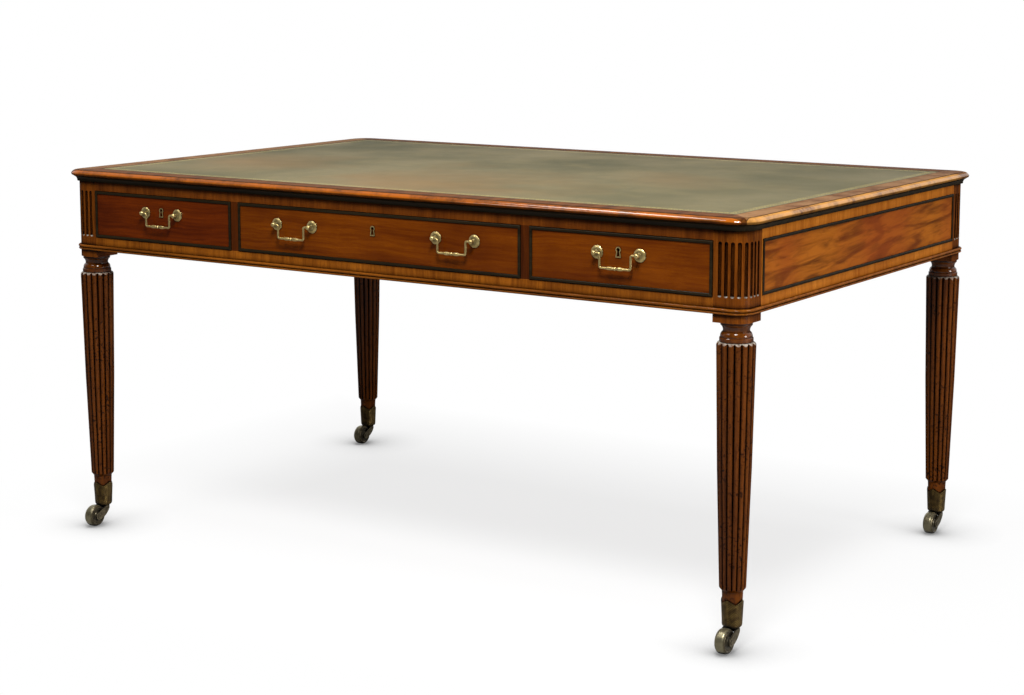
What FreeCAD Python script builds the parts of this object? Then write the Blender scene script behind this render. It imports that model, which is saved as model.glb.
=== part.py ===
import FreeCAD, Part
import math
import os
import re
from collections import namedtuple

import Sketcher

# Library table: a leather-topped writing table with three drawers, fluted corner posts, reeded legs and
# brass castors. Millimetres. +Z is up, the floor is at z = 0, the origin lies under the middle of the top
# and the drawers face -Y. The frieze is the box of rails between the legs, and its outer faces set most
# other places.

SIZES = {
    # Whole table
    "table_length": 1603,
    "table_depth": 1023,
    "table_height": 762,
    # Top: leather on a core panel, inside a border with a moulded edge
    "top_overhang": 16.5,
    "edge_thickness": 11.5,
    "nose_drop": 6.5,
    "thumb_fullness": 0.18,
    "thumb_start": 3,
    "thumb_step": 0.8,
    "edge_foot": 12.5,
    "under_curve_fullness": 0.2,
    "border_inset": 40,
    "leather_thickness": 1.5,
    "leather_sink": 0.3,
    "moulding_root": 5,
    # Mouldings on the frieze
    "glue_line": 0.05,
    "under_moulding_height": 11.5,
    "under_moulding_reach": 11,
    "under_moulding_foot": 4.5,
    "under_moulding_fillet": 1.5,
    "under_cove_fullness": 0.15,
    "lower_moulding_root": 3,
    "upper_bead_height": 5.4,
    "lower_bead_height": 4.2,
    "bead_fullness": 0.46,
    "bead_quirk": 0.9,
    "quirk_depth": 1,
    # Frieze rails and posts
    "post_side": 61,
    "post_corner_radius": 29,
    "top_rail_height": 30,
    "opening_height": 98,
    "bottom_rail_height": 27.5,
    "rail_thickness": 24,
    "middle_opening": 669,
    "divider_width": 17.5,
    "tenon_thickness": 10,
    "tenon_length": 24,
    "tenon_height": 15,
    "tenon_inset": 7,
    "tenon_shoulder": 6,
    "tenon_clearance": 0.1,
    "flutes_per_side": 4,
    "flute_pitch": 12,
    "flute_radius": 3.6,
    "flute_margin": 1,
    # Figured panels and cock beads
    "cock_bead_width": 6,
    "cock_bead_proud": 2.2,
    "cock_bead_round": 2,
    "panel_depth": 4,
    "panel_margin": 3,
    # Runners, kickers and stops
    "runner_height": 20,
    "runner_ledge": 20,
    "guide_height": 18,
    "stop_height": 6,
    "stop_length": 30,
    "stop_depth": 20,
    "stop_inset": 60,
    # Screws that hold the top down
    "screw_head_radius": 4.5,
    "screw_head_height": 3,
    "screw_shank_radius": 2,
    "screw_bite": 7,
    "screw_recess": 4,
    "screw_clearance": 0.05,
    "screw_spacing": 600,
    # Legs
    "block_drop": 15,
    "neck_top_radius": 27.7,
    "neck_collar": 5,
    "neck_waist_radius": 23.4,
    "neck_cove_height": 11,
    "neck_cove_fullness": 0.14,
    "neck_flare_radius": 27.6,
    "neck_flare_height": 10.2,
    "neck_flare_fullness": 0.16,
    "ring_radius": 29.4,
    "ring_height": 8.4,
    "ring_round": 1.2,
    "shaft_top_radius": 34.4,
    "shaft_shoulder": 5.5,
    "shaft_shoulder_fullness": 0.18,
    "shaft_middle_radius": 30.2,
    "shaft_foot_radius": 23.6,
    "shaft_foot_bevel": 6,
    "reed_count": 16,
    "reed_depth_top": 4.4,
    "reed_depth_middle": 3.8,
    "reed_depth_foot": 3,
    "reed_fullness": 0.15,
    "reed_crest": 1.6,
    "ankle_height": 14,
    "ankle_radius": 18.6,
    "foot_radius": 16.4,
    # Castors
    "socket_underside": 41,
    "socket_height": 52,
    "socket_floor": 9,
    "socket_wall": 1.5,
    "socket_base_radius": 12.5,
    "socket_base_round": 6,
    "socket_base_fullness": 0.15,
    "socket_notch": 9,
    "socket_notch_width": 29,
    "socket_clearance": 0.05,
    "wheel_radius": 22.5,
    "wheel_width": 20,
    "wheel_tread": 5,
    "wheel_shoulder": 3.5,
    "wheel_fullness": 0.14,
    "wheel_dish": 1.5,
    "wheel_rim": 5,
    "wheel_hub_radius": 8,
    "axle_radius": 4,
    "axle_head": 1,
    "castor_trail": 27,
    "cheek_thickness": 3.5,
    "cheek_gap": 0.8,
    "cheek_boss": 8,
    "cheek_back": 3,
    "cheek_fullness": 0.12,
    "crown_height": 5.5,
    "crown_front": 7.5,
    "crown_back": 6.5,
    "swivel_gap": 0.3,
    "swivel_pin_radius": 5,
    "running_clearance": 0.06,
    # Drawers
    "drawer_gap": 0.8,
    "drawer_length": 470,
    "front_thickness": 20,
    "bead_rebate": 10,
    "side_thickness": 10,
    "side_height": 90,
    "back_thickness": 9,
    "back_drop": 5,
    "bottom_thickness": 6,
    "bottom_lift": 8,
    "bottom_groove": 5,
    "bottom_clearance": 0.2,
    # Handles
    "handle_height": 61,
    "rose_spacing": 86.5,
    "middle_handle_offset": 190,
    "rose_radius": 12.2,
    "rose_edge": 1.2,
    "rose_thickness": 3.8,
    "rose_fullness": 0.1,
    "rose_lobes": 8,
    "rose_notch": 1.6,
    "post_neck_radius": 3,
    "post_neck_foot": 2,
    "post_neck_rise": 1,
    "ball_radius": 5,
    "ball_height": 12,
    "shank_radius": 2.5,
    "shank_clearance": 0.1,
    "nut_side": 9,
    "nut_thickness": 4,
    "bail_rod_radius": 2.1,
    "bail_spacing": 63,
    "bail_drop": 25.5,
    "bail_bend": 3.4,
    "bail_stub": 4,
    "bail_pin_clearance": 0.1,
    "olive_length": 15,
    "olive_radius": 3.4,
    "olive_offset": 10,
    # Keyholes and locks
    "keyhole_height": 7,
    "keyhole_radius": 3.4,
    "keyhole_waist": 2,
    "keyhole_foot": 3.6,
    "keyhole_drop": 12,
    "escutcheon_rim": 1.8,
    "escutcheon_thickness": 1.5,
    "lock_width": 56,
    "lock_height": 44,
    "lock_thickness": 10,
    "bolt_width": 16,
    "bolt_thickness": 5,
    "bolt_height": 26,
    "bolt_clearance": 0.3,
    "bolt_travel": 7,
}

doc = FreeCAD.newDocument("library_table")
sheet = doc.addObject("Spreadsheet::Sheet", "Sizes")
for row, (alias, value) in enumerate(SIZES.items(), start=1):
    sheet.set(f"A{row}", alias)
    sheet.set(f"B{row}", str(value))
    sheet.setAlias(f"B{row}", alias)
doc.recompute()

# Places worked out from the sizes, as expressions
FRIEZE_X = "(table_length / 2 - top_overhang)"
FRIEZE_Y = "(table_depth / 2 - top_overhang)"
FRONT_FACE = f"(-{FRIEZE_Y})"
TOP_UNDER = "(table_height - edge_thickness)"
OPENING_TOP = f"({TOP_UNDER} - top_rail_height)"
OPENING_BOTTOM = f"({OPENING_TOP} - opening_height)"
OPENING_MIDDLE = f"({OPENING_TOP} - opening_height / 2)"
FRIEZE_BOTTOM = f"({OPENING_BOTTOM} - bottom_rail_height)"
FRIEZE_HEIGHT = f"({TOP_UNDER} - {FRIEZE_BOTTOM})"
POST_X = f"({FRIEZE_X} - post_side)"
POST_Y = f"({FRIEZE_Y} - post_side)"
END_INSIDE = f"({FRIEZE_X} - rail_thickness)"
BACK_INSIDE = f"({FRIEZE_Y} - rail_thickness)"
LOWER_TENON = f"({FRIEZE_BOTTOM} + tenon_shoulder)"
UPPER_TENON = f"({TOP_UNDER} - tenon_shoulder - tenon_height)"
LEATHER_X = f"({FRIEZE_X} - border_inset)"
LEATHER_Y = f"({FRIEZE_Y} - border_inset)"
LEATHER_UNDER = "(table_height - leather_sink - leather_thickness)"
MITRE_REACH = "(border_inset + top_overhang + moulding_root)"
DIVIDER_X = "(middle_opening / 2 + divider_width / 2)"
SIDE_OPENING = f"({POST_X} - middle_opening / 2 - divider_width)"
SIDE_DRAWER_X = f"({POST_X} - {SIDE_OPENING} / 2)"
RUNNER_EDGE = f"({POST_X} - runner_ledge)"
END_KICKER_X = f"(({RUNNER_EDGE} + {END_INSIDE}) / 2)"
FRONT_BACK = f"({FRONT_FACE} + front_thickness)"
DRAWER_TOP = f"({OPENING_TOP} - drawer_gap)"
HANDLE_Z = f"({OPENING_BOTTOM} + handle_height)"
KEYHOLE_Z = f"({HANDLE_Z} + keyhole_height)"
BOLT_LOW = f"({DRAWER_TOP} - bolt_clearance - bolt_height)"
BOLT_FRONT = f"({FRONT_BACK} + lock_thickness / 2 - bolt_thickness / 2)"
BLOCK_BOTTOM = f"({FRIEZE_BOTTOM} - block_drop)"
NECK_WAIST = f"({BLOCK_BOTTOM} - neck_collar - neck_cove_height)"
RING_TOP = f"({NECK_WAIST} - neck_flare_height)"
SHAFT_TOP = f"({RING_TOP} - ring_height)"
SOCKET_TOP = "(socket_underside + socket_height)"
ANKLE_TOP = f"({SOCKET_TOP} + ankle_height)"
SHAFT_MIDDLE = f"(({SHAFT_TOP} + {ANKLE_TOP}) / 2)"
LEG_X = f"({FRIEZE_X} - post_side / 2)"
LEG_Y = f"({FRIEZE_Y} - post_side / 2)"
CROWN_TOP = "(socket_underside - swivel_gap)"
CROWN_UNDER = f"({CROWN_TOP} - crown_height)"

# Each drawer's middle and the width of its opening, then the middles of its handles
DRAWERS = {
    "left": (f"-{SIDE_DRAWER_X}", SIDE_OPENING),
    "middle": ("0", "middle_opening"),
    "right": (SIDE_DRAWER_X, SIDE_OPENING),
}
HANDLES = {
    "left": {"bail": f"-{SIDE_DRAWER_X}"},
    "middle": {"left_bail": "-middle_handle_offset", "right_bail": "middle_handle_offset"},
    "right": {"bail": SIDE_DRAWER_X},
}

X_AXIS = FreeCAD.Vector(1, 0, 0)
Y_AXIS = FreeCAD.Vector(0, 1, 0)
Z_AXIS = FreeCAD.Vector(0, 0, 1)
UPRIGHT = FreeCAD.Rotation(X_AXIS, 90)
ALONG_X = FreeCAD.Rotation(Y_AXIS, 90)
HALF_TURN = FreeCAD.Rotation(Z_AXIS, 180)
QUARTERS = {"front": 0, "right": 90, "back": 180, "left": 270}
SIDES = {"left": -1, "right": 1}

# Each leg's side in X and in Y, and the turn that brings its round corner outside
CORNERS = {
    "front_right": (1, -1, 0),
    "back_right": (1, 1, 90),
    "back_left": (-1, 1, 180),
    "front_left": (-1, -1, 270),
}

# How a sketch's line arrives at a point when it isn't straight: an arc of a known radius, or a swell whose
# height is a share of the straight distance. Both turn left or right.
Arc = namedtuple("Arc", "radius turn")
Swell = namedtuple("Swell", "fullness turn")

nodes = []


def sized(expression):
    """Writes each size name in an expression as a cell of the sheet."""
    return re.sub(r"\b[a-z]+(?:_[a-z]+)+\b", lambda word: f"Sizes.{word.group()}", expression)


def number(expression):
    """The present value of an expression."""
    return float(sheet.evalExpression(sized(expression)))


def bind(thing, **expressions):
    """Ties properties of an object to expressions of the sheet's sizes."""
    for name, expression in expressions.items():
        thing.setExpression(name, sized(expression))
    return thing


def place(thing, x="0", y="0", z="0", rotation=None):
    """Gives an object its place, tied to the sheet, and its fixed rotation."""
    if rotation is not None:
        thing.Placement = FreeCAD.Placement(FreeCAD.Vector(), rotation)
    for axis, expression in zip("xyz", (x, y, z)):
        thing.setExpression(f"Placement.Base.{axis}", sized(expression))
    return thing


def node(thing):
    """Marks an object as a sub-part that is written to its own file."""
    nodes.append(thing)
    return thing


def box(name, size, corner):
    """A board: its sizes along X, Y and Z, then its lowest corner."""
    board = doc.addObject("Part::Box", name)
    bind(board, Length=size[0], Width=size[1], Height=size[2])
    return place(board, *corner)


def centred_box(name, size, corner):
    """A board like box, but its corner's X is the middle of its length."""
    return box(name, size, (f"{corner[0]} - ({size[0]}) / 2", *corner[1:]))


def cylinder(name, radius, height, start, rotation=None):
    """A round bar that starts at a point and runs along +Z, turned by the rotation."""
    bar = doc.addObject("Part::Cylinder", name)
    bind(bar, Radius=radius, Height=height)
    return place(bar, *start, rotation)


def compound(name, things):
    """Several solids in one object."""
    group = doc.addObject("Part::Compound", name)
    group.Links = list(things)
    return group


def copy_at(name, thing, spot, rotation=None):
    """A copy of an object at another place."""
    return place(compound(name, [thing]), *spot, rotation)


def fuse(name, things):
    """Several overlapping or touching shapes as one solid."""
    whole = doc.addObject("Part::MultiFuse", name)
    whole.Shapes = list(things)
    whole.Refine = True
    return whole


def cut(name, base, tools):
    """A shape less the tools, which don't overlap each other."""
    rest = doc.addObject("Part::Cut", name)
    rest.Base = base
    rest.Tool = compound(f"{name}_cutters", tools)
    return rest


def common(name, base, tool):
    """What two shapes share."""
    shared = doc.addObject("Part::Common", name)
    shared.Base = base
    shared.Tool = tool
    return shared


def new_body(name):
    """An empty body."""
    return doc.addObject("PartDesign::Body", name)


def origin_part(body, role):
    """One of a body's own origin planes or axes."""
    return next(feature for feature in body.Origin.OriginFeatures if feature.Role == role)


def swell_radius(start, end, fullness):
    """The radius of the arc between two points whose height is a share of their distance."""
    across = f"(({end[0]}) - ({start[0]}))"
    along = f"(({end[1]}) - ({start[1]}))"
    return f"sqrt({across} ^ 2 + {along} ^ 2) * (1 / (8 * {fullness}) + {fullness} / 2)"


def arc_middle(start, end, radius, turn):
    """The middle point of the shorter arc from start to end that turns left or right."""
    chord = end - start
    half = chord.Length / 2
    sagitta = radius - math.sqrt(max(radius * radius - half * half, 0))
    right = FreeCAD.Vector(chord.y, -chord.x, 0).normalize()
    side = 1 if turn == "left" else -1
    return (start + end) / 2 + right * (sagitta * side)


def add_line(sketch, points, index, arrive):
    """Adds the line or arc between two points, and says which of its ends come first and last."""
    start, end = (FreeCAD.Vector(number(point[0]), number(point[1]), 0)
                  for point in (points[index], points[arrive]))
    if len(points[arrive]) == 2:
        sketch.addGeometry(Part.LineSegment(start, end), False)
        return 1, 2
    curve = points[arrive][2]
    if isinstance(curve, Arc):
        radius = curve.radius
    else:
        radius = swell_radius(points[index], points[arrive], curve.fullness)
    sketch.addGeometry(Part.Arc(start, arc_middle(start, end, number(radius), curve.turn), end), False)
    rule = sketch.addConstraint(Sketcher.Constraint("Radius", index, number(radius)))
    sketch.setExpression(f"Constraints[{rule}]", sized(radius))
    return (1, 2) if curve.turn == "left" else (2, 1)


def draw(body, name, role, points, height="0", closed=True):
    """A sketch through points (x, y) or (x, y, curve), each tied to the sheet, on one of a body's planes."""
    sketch = body.newObject("Sketcher::SketchObject", name)
    sketch.AttachmentSupport = (origin_part(body, role), [""])
    sketch.MapMode = "FlatFace"
    sketch.setExpression("AttachmentOffset.Base.z", sized(height))
    last = len(points) if closed else len(points) - 1
    ends = [add_line(sketch, points, index, (index + 1) % len(points)) for index in range(last)]
    for index in range(last if closed else last - 1):
        following = (index + 1) % last
        meeting = (index, ends[index][1], following, ends[following][0])
        sketch.addConstraint(Sketcher.Constraint("Coincident", *meeting))
    for index, point in enumerate(points):
        line, end = (index, ends[index][0]) if index < last else (index - 1, ends[index - 1][1])
        for kind, axis, expression in (("DistanceX", -2, point[0]), ("DistanceY", -1, point[1])):
            if expression == "0":
                sketch.addConstraint(Sketcher.Constraint("PointOnObject", line, end, axis))
                continue
            rule = sketch.addConstraint(Sketcher.Constraint(kind, -1, 1, line, end, number(expression)))
            sketch.setExpression(f"Constraints[{rule}]", sized(expression))
    return sketch


def draw_circle(body, name, role, radius, height):
    """A sketch of a circle about the middle of one of a body's planes."""
    sketch = body.newObject("Sketcher::SketchObject", name)
    sketch.AttachmentSupport = (origin_part(body, role), [""])
    sketch.MapMode = "FlatFace"
    sketch.setExpression("AttachmentOffset.Base.z", sized(height))
    sketch.addGeometry(Part.Circle(FreeCAD.Vector(), Z_AXIS, number(radius)), False)
    sketch.addConstraint(Sketcher.Constraint("Coincident", 0, 3, -1, 1))
    rule = sketch.addConstraint(Sketcher.Constraint("Radius", 0, number(radius)))
    sketch.setExpression(f"Constraints[{rule}]", sized(radius))
    return sketch


def pad(body, name, sketch, length):
    """A straight pad of a closed sketch."""
    feature = body.newObject("PartDesign::Pad", name)
    feature.Profile = sketch
    return bind(feature, Length=length)


def turned(name, points):
    """A body turned about its Z axis from an outline of (radius, height) points."""
    body = new_body(name)
    sketch = draw(body, f"{name}_outline", "XZ_Plane", points)
    turning = body.newObject("PartDesign::Revolution", f"{name}_turning")
    turning.Profile = sketch
    turning.ReferenceAxis = (sketch, ["V_Axis"])
    turning.Angle = 360
    return body


def pipe(body, name, profile, path):
    """A profile carried along a path of sketch lines."""
    feature = body.newObject("PartDesign::AdditivePipe", name)
    feature.Profile = profile
    feature.Spine = (path, [f"Edge{index + 1}" for index in range(path.GeometryCount)])
    return feature


def rectangle(width, height):
    """The corners of a rectangle about the origin."""
    half_width = f"(({width}) / 2)"
    half_height = f"(({height}) / 2)"
    return [
        (f"-{half_width}", f"-{half_height}"),
        (half_width, f"-{half_height}"),
        (half_width, half_height),
        (f"-{half_width}", half_height),
    ]


def frieze_outline():
    """The frieze seen from above with its round corners, from the middle of its front."""
    corner = Arc("post_corner_radius", "left")
    long_end = f"({FRIEZE_X} - post_corner_radius)"
    short_end = f"({FRIEZE_Y} - post_corner_radius)"
    return [
        ("0", FRONT_FACE),
        (long_end, FRONT_FACE),
        (FRIEZE_X, f"-{short_end}", corner),
        (FRIEZE_X, short_end),
        (long_end, FRIEZE_Y, corner),
        (f"-{long_end}", FRIEZE_Y),
        (f"-{FRIEZE_X}", short_end, corner),
        (f"-{FRIEZE_X}", f"-{short_end}"),
        (f"-{long_end}", FRONT_FACE, corner),
    ]


def run_moulding(body, name, points):
    """A moulding round the frieze, in a body: its points are (reach from the frieze's face, height)."""
    path = draw(body, f"{name}_path", "XY_Plane", frieze_outline())
    section = [(f"{FRONT_FACE} - ({point[0]})", *point[1:]) for point in points]
    profile = draw(body, f"{name}_profile", "YZ_Plane", section)
    return pipe(body, f"{name}_run", profile, path)


def mitred(name, ring, half_sizes, reach, low, height):
    """A ring round a rectangle as four lengths that meet in mitres, from a level up to a height above it."""
    lengths = []
    for side, angle in QUARTERS.items():
        along, across = half_sizes if angle % 180 == 0 else reversed(half_sizes)
        wedge = doc.addObject("Part::Wedge", f"{name}_{side}_mitre")
        bind(wedge, Xmin=f"-({along}) - {reach}", Xmax=f"({along}) + {reach}")
        bind(wedge, X2min=f"-({along}) + {reach}", X2max=f"({along}) - {reach}")
        bind(wedge, Ymin=f"-({across}) - {reach}", Ymax=f"-({across}) + {reach}")
        bind(wedge, Zmin=low, Z2min=low, Zmax=f"{low} + {height}", Z2max=f"{low} + {height}")
        wedge.Placement = FreeCAD.Placement(FreeCAD.Vector(), FreeCAD.Rotation(Z_AXIS, angle))
        lengths.append(common(f"{name}_{side}_length", ring, wedge))
    return compound(name, lengths)


def facing(side):
    """The rotation that stands a flat piece upright on one side of the table, facing outwards."""
    return FreeCAD.Rotation(Z_AXIS, QUARTERS[side]).multiply(UPRIGHT)


def cock_bead(name, width, height, depth):
    """Four mitred round-topped strips about a flat panel: its outer size, and how deep they are let in."""
    body = new_body(f"{name}_ring")
    outer = draw(body, f"{name}_outer", "XY_Plane", rectangle(width, height), f"-{depth}")
    pad(body, f"{name}_bar", outer, f"{depth} + cock_bead_proud")
    inner = rectangle(f"{width} - 2 * cock_bead_width", f"{height} - 2 * cock_bead_width")
    opening = body.newObject("PartDesign::Pocket", f"{name}_opening")
    opening.Profile = draw(body, f"{name}_inner", "XY_Plane", inner, f"-{depth}")
    opening.Reversed = True
    opening.Type = "ThroughAll"
    doc.recompute()
    proud = number("cock_bead_proud")
    edges = [f"Edge{index + 1}" for index, edge in enumerate(opening.Shape.Edges)
             if all(math.isclose(corner.Z, proud, abs_tol=1e-6) for corner in edge.Vertexes)]
    rounding = body.newObject("PartDesign::Fillet", f"{name}_rounding")
    rounding.Base = (opening, edges)
    bind(rounding, Radius="cock_bead_round")
    half_sizes = (f"({width}) / 2", f"({height}) / 2")
    return mitred(name, body, half_sizes, "(2 * cock_bead_width)", f"-2 * {depth}", f"4 * {depth}")


def screw_places():
    """Where the screws that hold the top down stand: on each kicker, towards the front and the back."""
    for x in (f"-{END_KICKER_X}", f"-{DIVIDER_X}", DIVIDER_X, END_KICKER_X):
        for y in ("-screw_spacing / 2", "screw_spacing / 2"):
            yield x, y


def make_top():
    """The leather and the core panel that it lies on."""
    size = (f"2 * {LEATHER_X}", f"2 * {LEATHER_Y}")
    corner = (f"-{LEATHER_X}", f"-{LEATHER_Y}")
    node(box("leather_writing_surface", (*size, "leather_thickness"), (*corner, LEATHER_UNDER)))
    board = box("core_board", (*size, f"{LEATHER_UNDER} - {TOP_UNDER}"), (*corner, TOP_UNDER))
    hole_radius = "screw_shank_radius + screw_clearance"
    holes = [cylinder(f"core_hole_{index}", hole_radius, "screw_bite + screw_clearance", (*spot, TOP_UNDER))
             for index, spot in enumerate(screw_places())]
    node(cut("top_core_panel", board, holes))


def make_top_border():
    """The border round the leather with its thumb-moulded edge."""
    blank = new_body("border_blank")
    flat = draw(blank, "border_flat", "XY_Plane", frieze_outline(), TOP_UNDER)
    pad(blank, "border_board", flat, "edge_thickness")
    run_moulding(blank, "border_edge", [
        ("-moulding_root", TOP_UNDER),
        ("edge_foot", TOP_UNDER),
        ("top_overhang", "table_height - nose_drop", Swell("under_curve_fullness", "right")),
        ("thumb_start", "table_height - thumb_step", Swell("thumb_fullness", "right")),
        ("thumb_start", "table_height"),
        ("-moulding_root", "table_height"),
    ])
    well = box("border_well", (f"2 * {LEATHER_X}", f"2 * {LEATHER_Y}", "2 * edge_thickness"),
               (f"-{LEATHER_X}", f"-{LEATHER_Y}", f"{TOP_UNDER} - edge_thickness / 2"))
    ring = cut("border_ring", blank, [well])
    low = f"({TOP_UNDER} - edge_thickness)"
    node(mitred("top_border", ring, (FRIEZE_X, FRIEZE_Y), MITRE_REACH, low, "3 * edge_thickness"))


def make_under_moulding():
    """The coved moulding between the frieze and the overhanging edge of the top."""
    ring = new_body("under_moulding_ring")
    low = f"({TOP_UNDER} - under_moulding_height)"
    cove = Swell("under_cove_fullness", "left")
    run_moulding(ring, "under_moulding", [
        ("glue_line", low),
        ("under_moulding_foot", low),
        ("under_moulding_foot", f"{low} + under_moulding_fillet"),
        ("under_moulding_reach", f"{TOP_UNDER} - under_moulding_fillet", cove),
        ("under_moulding_reach", TOP_UNDER),
        ("glue_line", TOP_UNDER),
    ])
    half_sizes = (FRIEZE_X, FRIEZE_Y)
    node(mitred("top_under_moulding", ring, half_sizes, MITRE_REACH, low, "2 * under_moulding_height"))


def make_frieze_moulding():
    """The double bead round the bottom of the frieze."""
    ring = new_body("frieze_moulding_ring")
    quirk = "lower_moulding_root - quirk_depth"
    quirk_low = f"({FRIEZE_BOTTOM} + lower_bead_height)"
    quirk_high = f"({quirk_low} + bead_quirk)"
    top = f"({quirk_high} + upper_bead_height)"
    bead = Swell("bead_fullness", "right")
    run_moulding(ring, "frieze_moulding", [
        ("glue_line", FRIEZE_BOTTOM),
        ("lower_moulding_root", FRIEZE_BOTTOM),
        ("lower_moulding_root", quirk_low, bead),
        (quirk, quirk_low),
        (quirk, quirk_high),
        ("lower_moulding_root", quirk_high),
        ("lower_moulding_root", top, bead),
        ("glue_line", top),
    ])
    half_sizes = (FRIEZE_X, FRIEZE_Y)
    inset = "post_corner_radius"
    node(mitred("frieze_bottom_moulding", ring, half_sizes, inset, BLOCK_BOTTOM, "3 * block_drop"))


def long_rail(name, size, corner, tenon_y, levels):
    """A rail along X between two posts, with a tenon at both ends at each level."""
    pieces = [box(f"{name}_board", (f"2 * {POST_X}", *size), (f"-{POST_X}", *corner))]
    for index, level in enumerate(levels):
        tenon_size = (f"2 * {POST_X} + 2 * tenon_length", "tenon_thickness", "tenon_height")
        pieces.append(box(f"{name}_tenon_{index}", tenon_size, (f"-{POST_X} - tenon_length", tenon_y, level)))
    return pieces


def make_front():
    """The front's two rails and the dividers between its drawers."""
    tenon_y = f"{FRONT_FACE} + tenon_inset"
    lower = long_rail("front_lower", ("post_side", "bottom_rail_height"), (FRONT_FACE, FRIEZE_BOTTOM),
                      tenon_y, [LOWER_TENON])
    node(fuse("front_bottom_rail", lower))
    upper = long_rail("front_upper", ("post_side", "top_rail_height"), (FRONT_FACE, OPENING_TOP),
                      tenon_y, [UPPER_TENON])
    mortise_size = ("bolt_width + 2 * bolt_clearance", "bolt_thickness + 2 * bolt_clearance",
                    "bolt_travel + bolt_clearance")
    mortise_front = f"{BOLT_FRONT} - bolt_clearance"
    mortises = [centred_box(f"{drawer}_bolt_mortise", mortise_size, (x, mortise_front, OPENING_TOP))
                for drawer, (x, width) in DRAWERS.items()]
    node(cut("front_top_rail", fuse("front_upper_whole", upper), mortises))
    divider_size = ("divider_width", "post_side", "opening_height")
    node(compound("drawer_dividers", [
        centred_box(f"{side}_divider", divider_size, (f"{sign} * {DIVIDER_X}", FRONT_FACE, OPENING_BOTTOM))
        for side, sign in SIDES.items()]))


def make_back():
    """The back rail with three figured panels, laid out like the drawers, and their beads."""
    board = long_rail("back", ("rail_thickness", FRIEZE_HEIGHT), (BACK_INSIDE, FRIEZE_BOTTOM),
                      f"{FRIEZE_Y} - tenon_inset - tenon_thickness", [LOWER_TENON, UPPER_TENON])
    bed_y = f"{FRIEZE_Y} - panel_depth"
    beds, panels, beads = [], [], []
    for drawer, (x, width) in DRAWERS.items():
        name = f"back_{drawer}"
        bed_size = (width, "panel_depth", "opening_height")
        beds.append(centred_box(f"{name}_bed", bed_size, (x, bed_y, OPENING_BOTTOM)))
        panel_size = (f"{width} - 2 * cock_bead_width", "panel_depth", "opening_height - 2 * cock_bead_width")
        panel_corner = (x, bed_y, f"{OPENING_BOTTOM} + cock_bead_width")
        panels.append(centred_box(f"{name}_panel", panel_size, panel_corner))
        bead = cock_bead(f"{name}_bead", width, "opening_height", "panel_depth")
        beads.append(place(bead, x, FRIEZE_Y, OPENING_MIDDLE, facing("back")))
    node(cut("back_rail", fuse("back_whole", board), beds))
    node(compound("back_panels", panels))
    node(compound("back_panel_beads", beads))


def make_ends():
    """Each end's rail with its tenons, its figured panel and the bead round the panel."""
    span = f"(2 * {POST_Y})"
    panel_span = f"({span} - 2 * panel_margin)"
    panels, beads = [], []
    for side, sign in SIDES.items():
        name = f"{side}_end"
        face = f"({sign} * {FRIEZE_X})"

        def across(thickness, inset="0"):
            """The lower X of something of a thickness that lies an inset behind the end's face."""
            return f"{face} - ({inset}) - ({thickness})" if sign > 0 else f"{face} + ({inset})"

        pieces = [box(f"{name}_board", ("rail_thickness", span, FRIEZE_HEIGHT),
                      (across("rail_thickness"), f"-{POST_Y}", FRIEZE_BOTTOM))]
        for index, level in enumerate((LOWER_TENON, UPPER_TENON)):
            tenon_size = ("tenon_thickness", f"{span} + 2 * tenon_length", "tenon_height")
            corner = (across("tenon_thickness", "tenon_inset"), f"-{POST_Y} - tenon_length", level)
            pieces.append(box(f"{name}_tenon_{index}", tenon_size, corner))
        bed_x = across("panel_depth")
        bed = box(f"{name}_bed", ("panel_depth", panel_span, "opening_height"),
                  (bed_x, f"-{panel_span} / 2", OPENING_BOTTOM))
        node(cut(f"{name}_rail", fuse(f"{name}_whole", pieces), [bed]))
        panel_size = ("panel_depth", f"{panel_span} - 2 * cock_bead_width",
                      "opening_height - 2 * cock_bead_width")
        panel_corner = (bed_x, f"-{panel_span} / 2 + cock_bead_width", f"{OPENING_BOTTOM} + cock_bead_width")
        panels.append(box(f"{name}_panel", panel_size, panel_corner))
        bead = cock_bead(f"{name}_bead", panel_span, "opening_height", "panel_depth")
        beads.append(place(bead, face, "0", OPENING_MIDDLE, facing(side)))
    node(compound("end_panels", panels))
    node(compound("end_panel_beads", beads))


def leg_outline():
    """The turned part of the leg, from inside the post down to its foot in the socket."""
    foot = "socket_underside + socket_floor"
    return [
        ("0", FRIEZE_BOTTOM),
        ("neck_top_radius", FRIEZE_BOTTOM),
        ("neck_top_radius", f"{BLOCK_BOTTOM} - neck_collar"),
        ("neck_waist_radius", NECK_WAIST, Swell("neck_cove_fullness", "left")),
        ("neck_flare_radius", RING_TOP, Swell("neck_flare_fullness", "right")),
        ("ring_radius - ring_round", RING_TOP),
        ("ring_radius", f"{RING_TOP} - ring_round"),
        ("ring_radius", f"{SHAFT_TOP} + ring_round"),
        ("ring_radius - ring_round", SHAFT_TOP),
        ("ring_radius", SHAFT_TOP),
        ("shaft_top_radius", f"{SHAFT_TOP} - shaft_shoulder", Swell("shaft_shoulder_fullness", "right")),
        ("shaft_middle_radius", SHAFT_MIDDLE),
        ("shaft_foot_radius", f"{ANKLE_TOP} + shaft_foot_bevel"),
        ("ankle_radius", ANKLE_TOP),
        ("foot_radius", foot),
        ("0", foot),
    ]


def reed_groove(radius, depth):
    """The space between two reeds at one level: a cusp with round flanks, open outwards."""
    flank = f"(180 / reed_count - reed_crest / {radius} * 90 / pi)"
    edge = f"({radius} + glue_line)"
    across = f"{edge} * cos({flank})"
    aside = f"({edge} * sin({flank}))"
    outside = f"{radius} + {depth}"
    round_flank = Swell("reed_fullness", "left")
    return [
        (f"{radius} - {depth}", "0", round_flank),
        (across, aside, round_flank),
        (outside, aside),
        (outside, f"-{aside}"),
        (across, f"-{aside}"),
    ]


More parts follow.
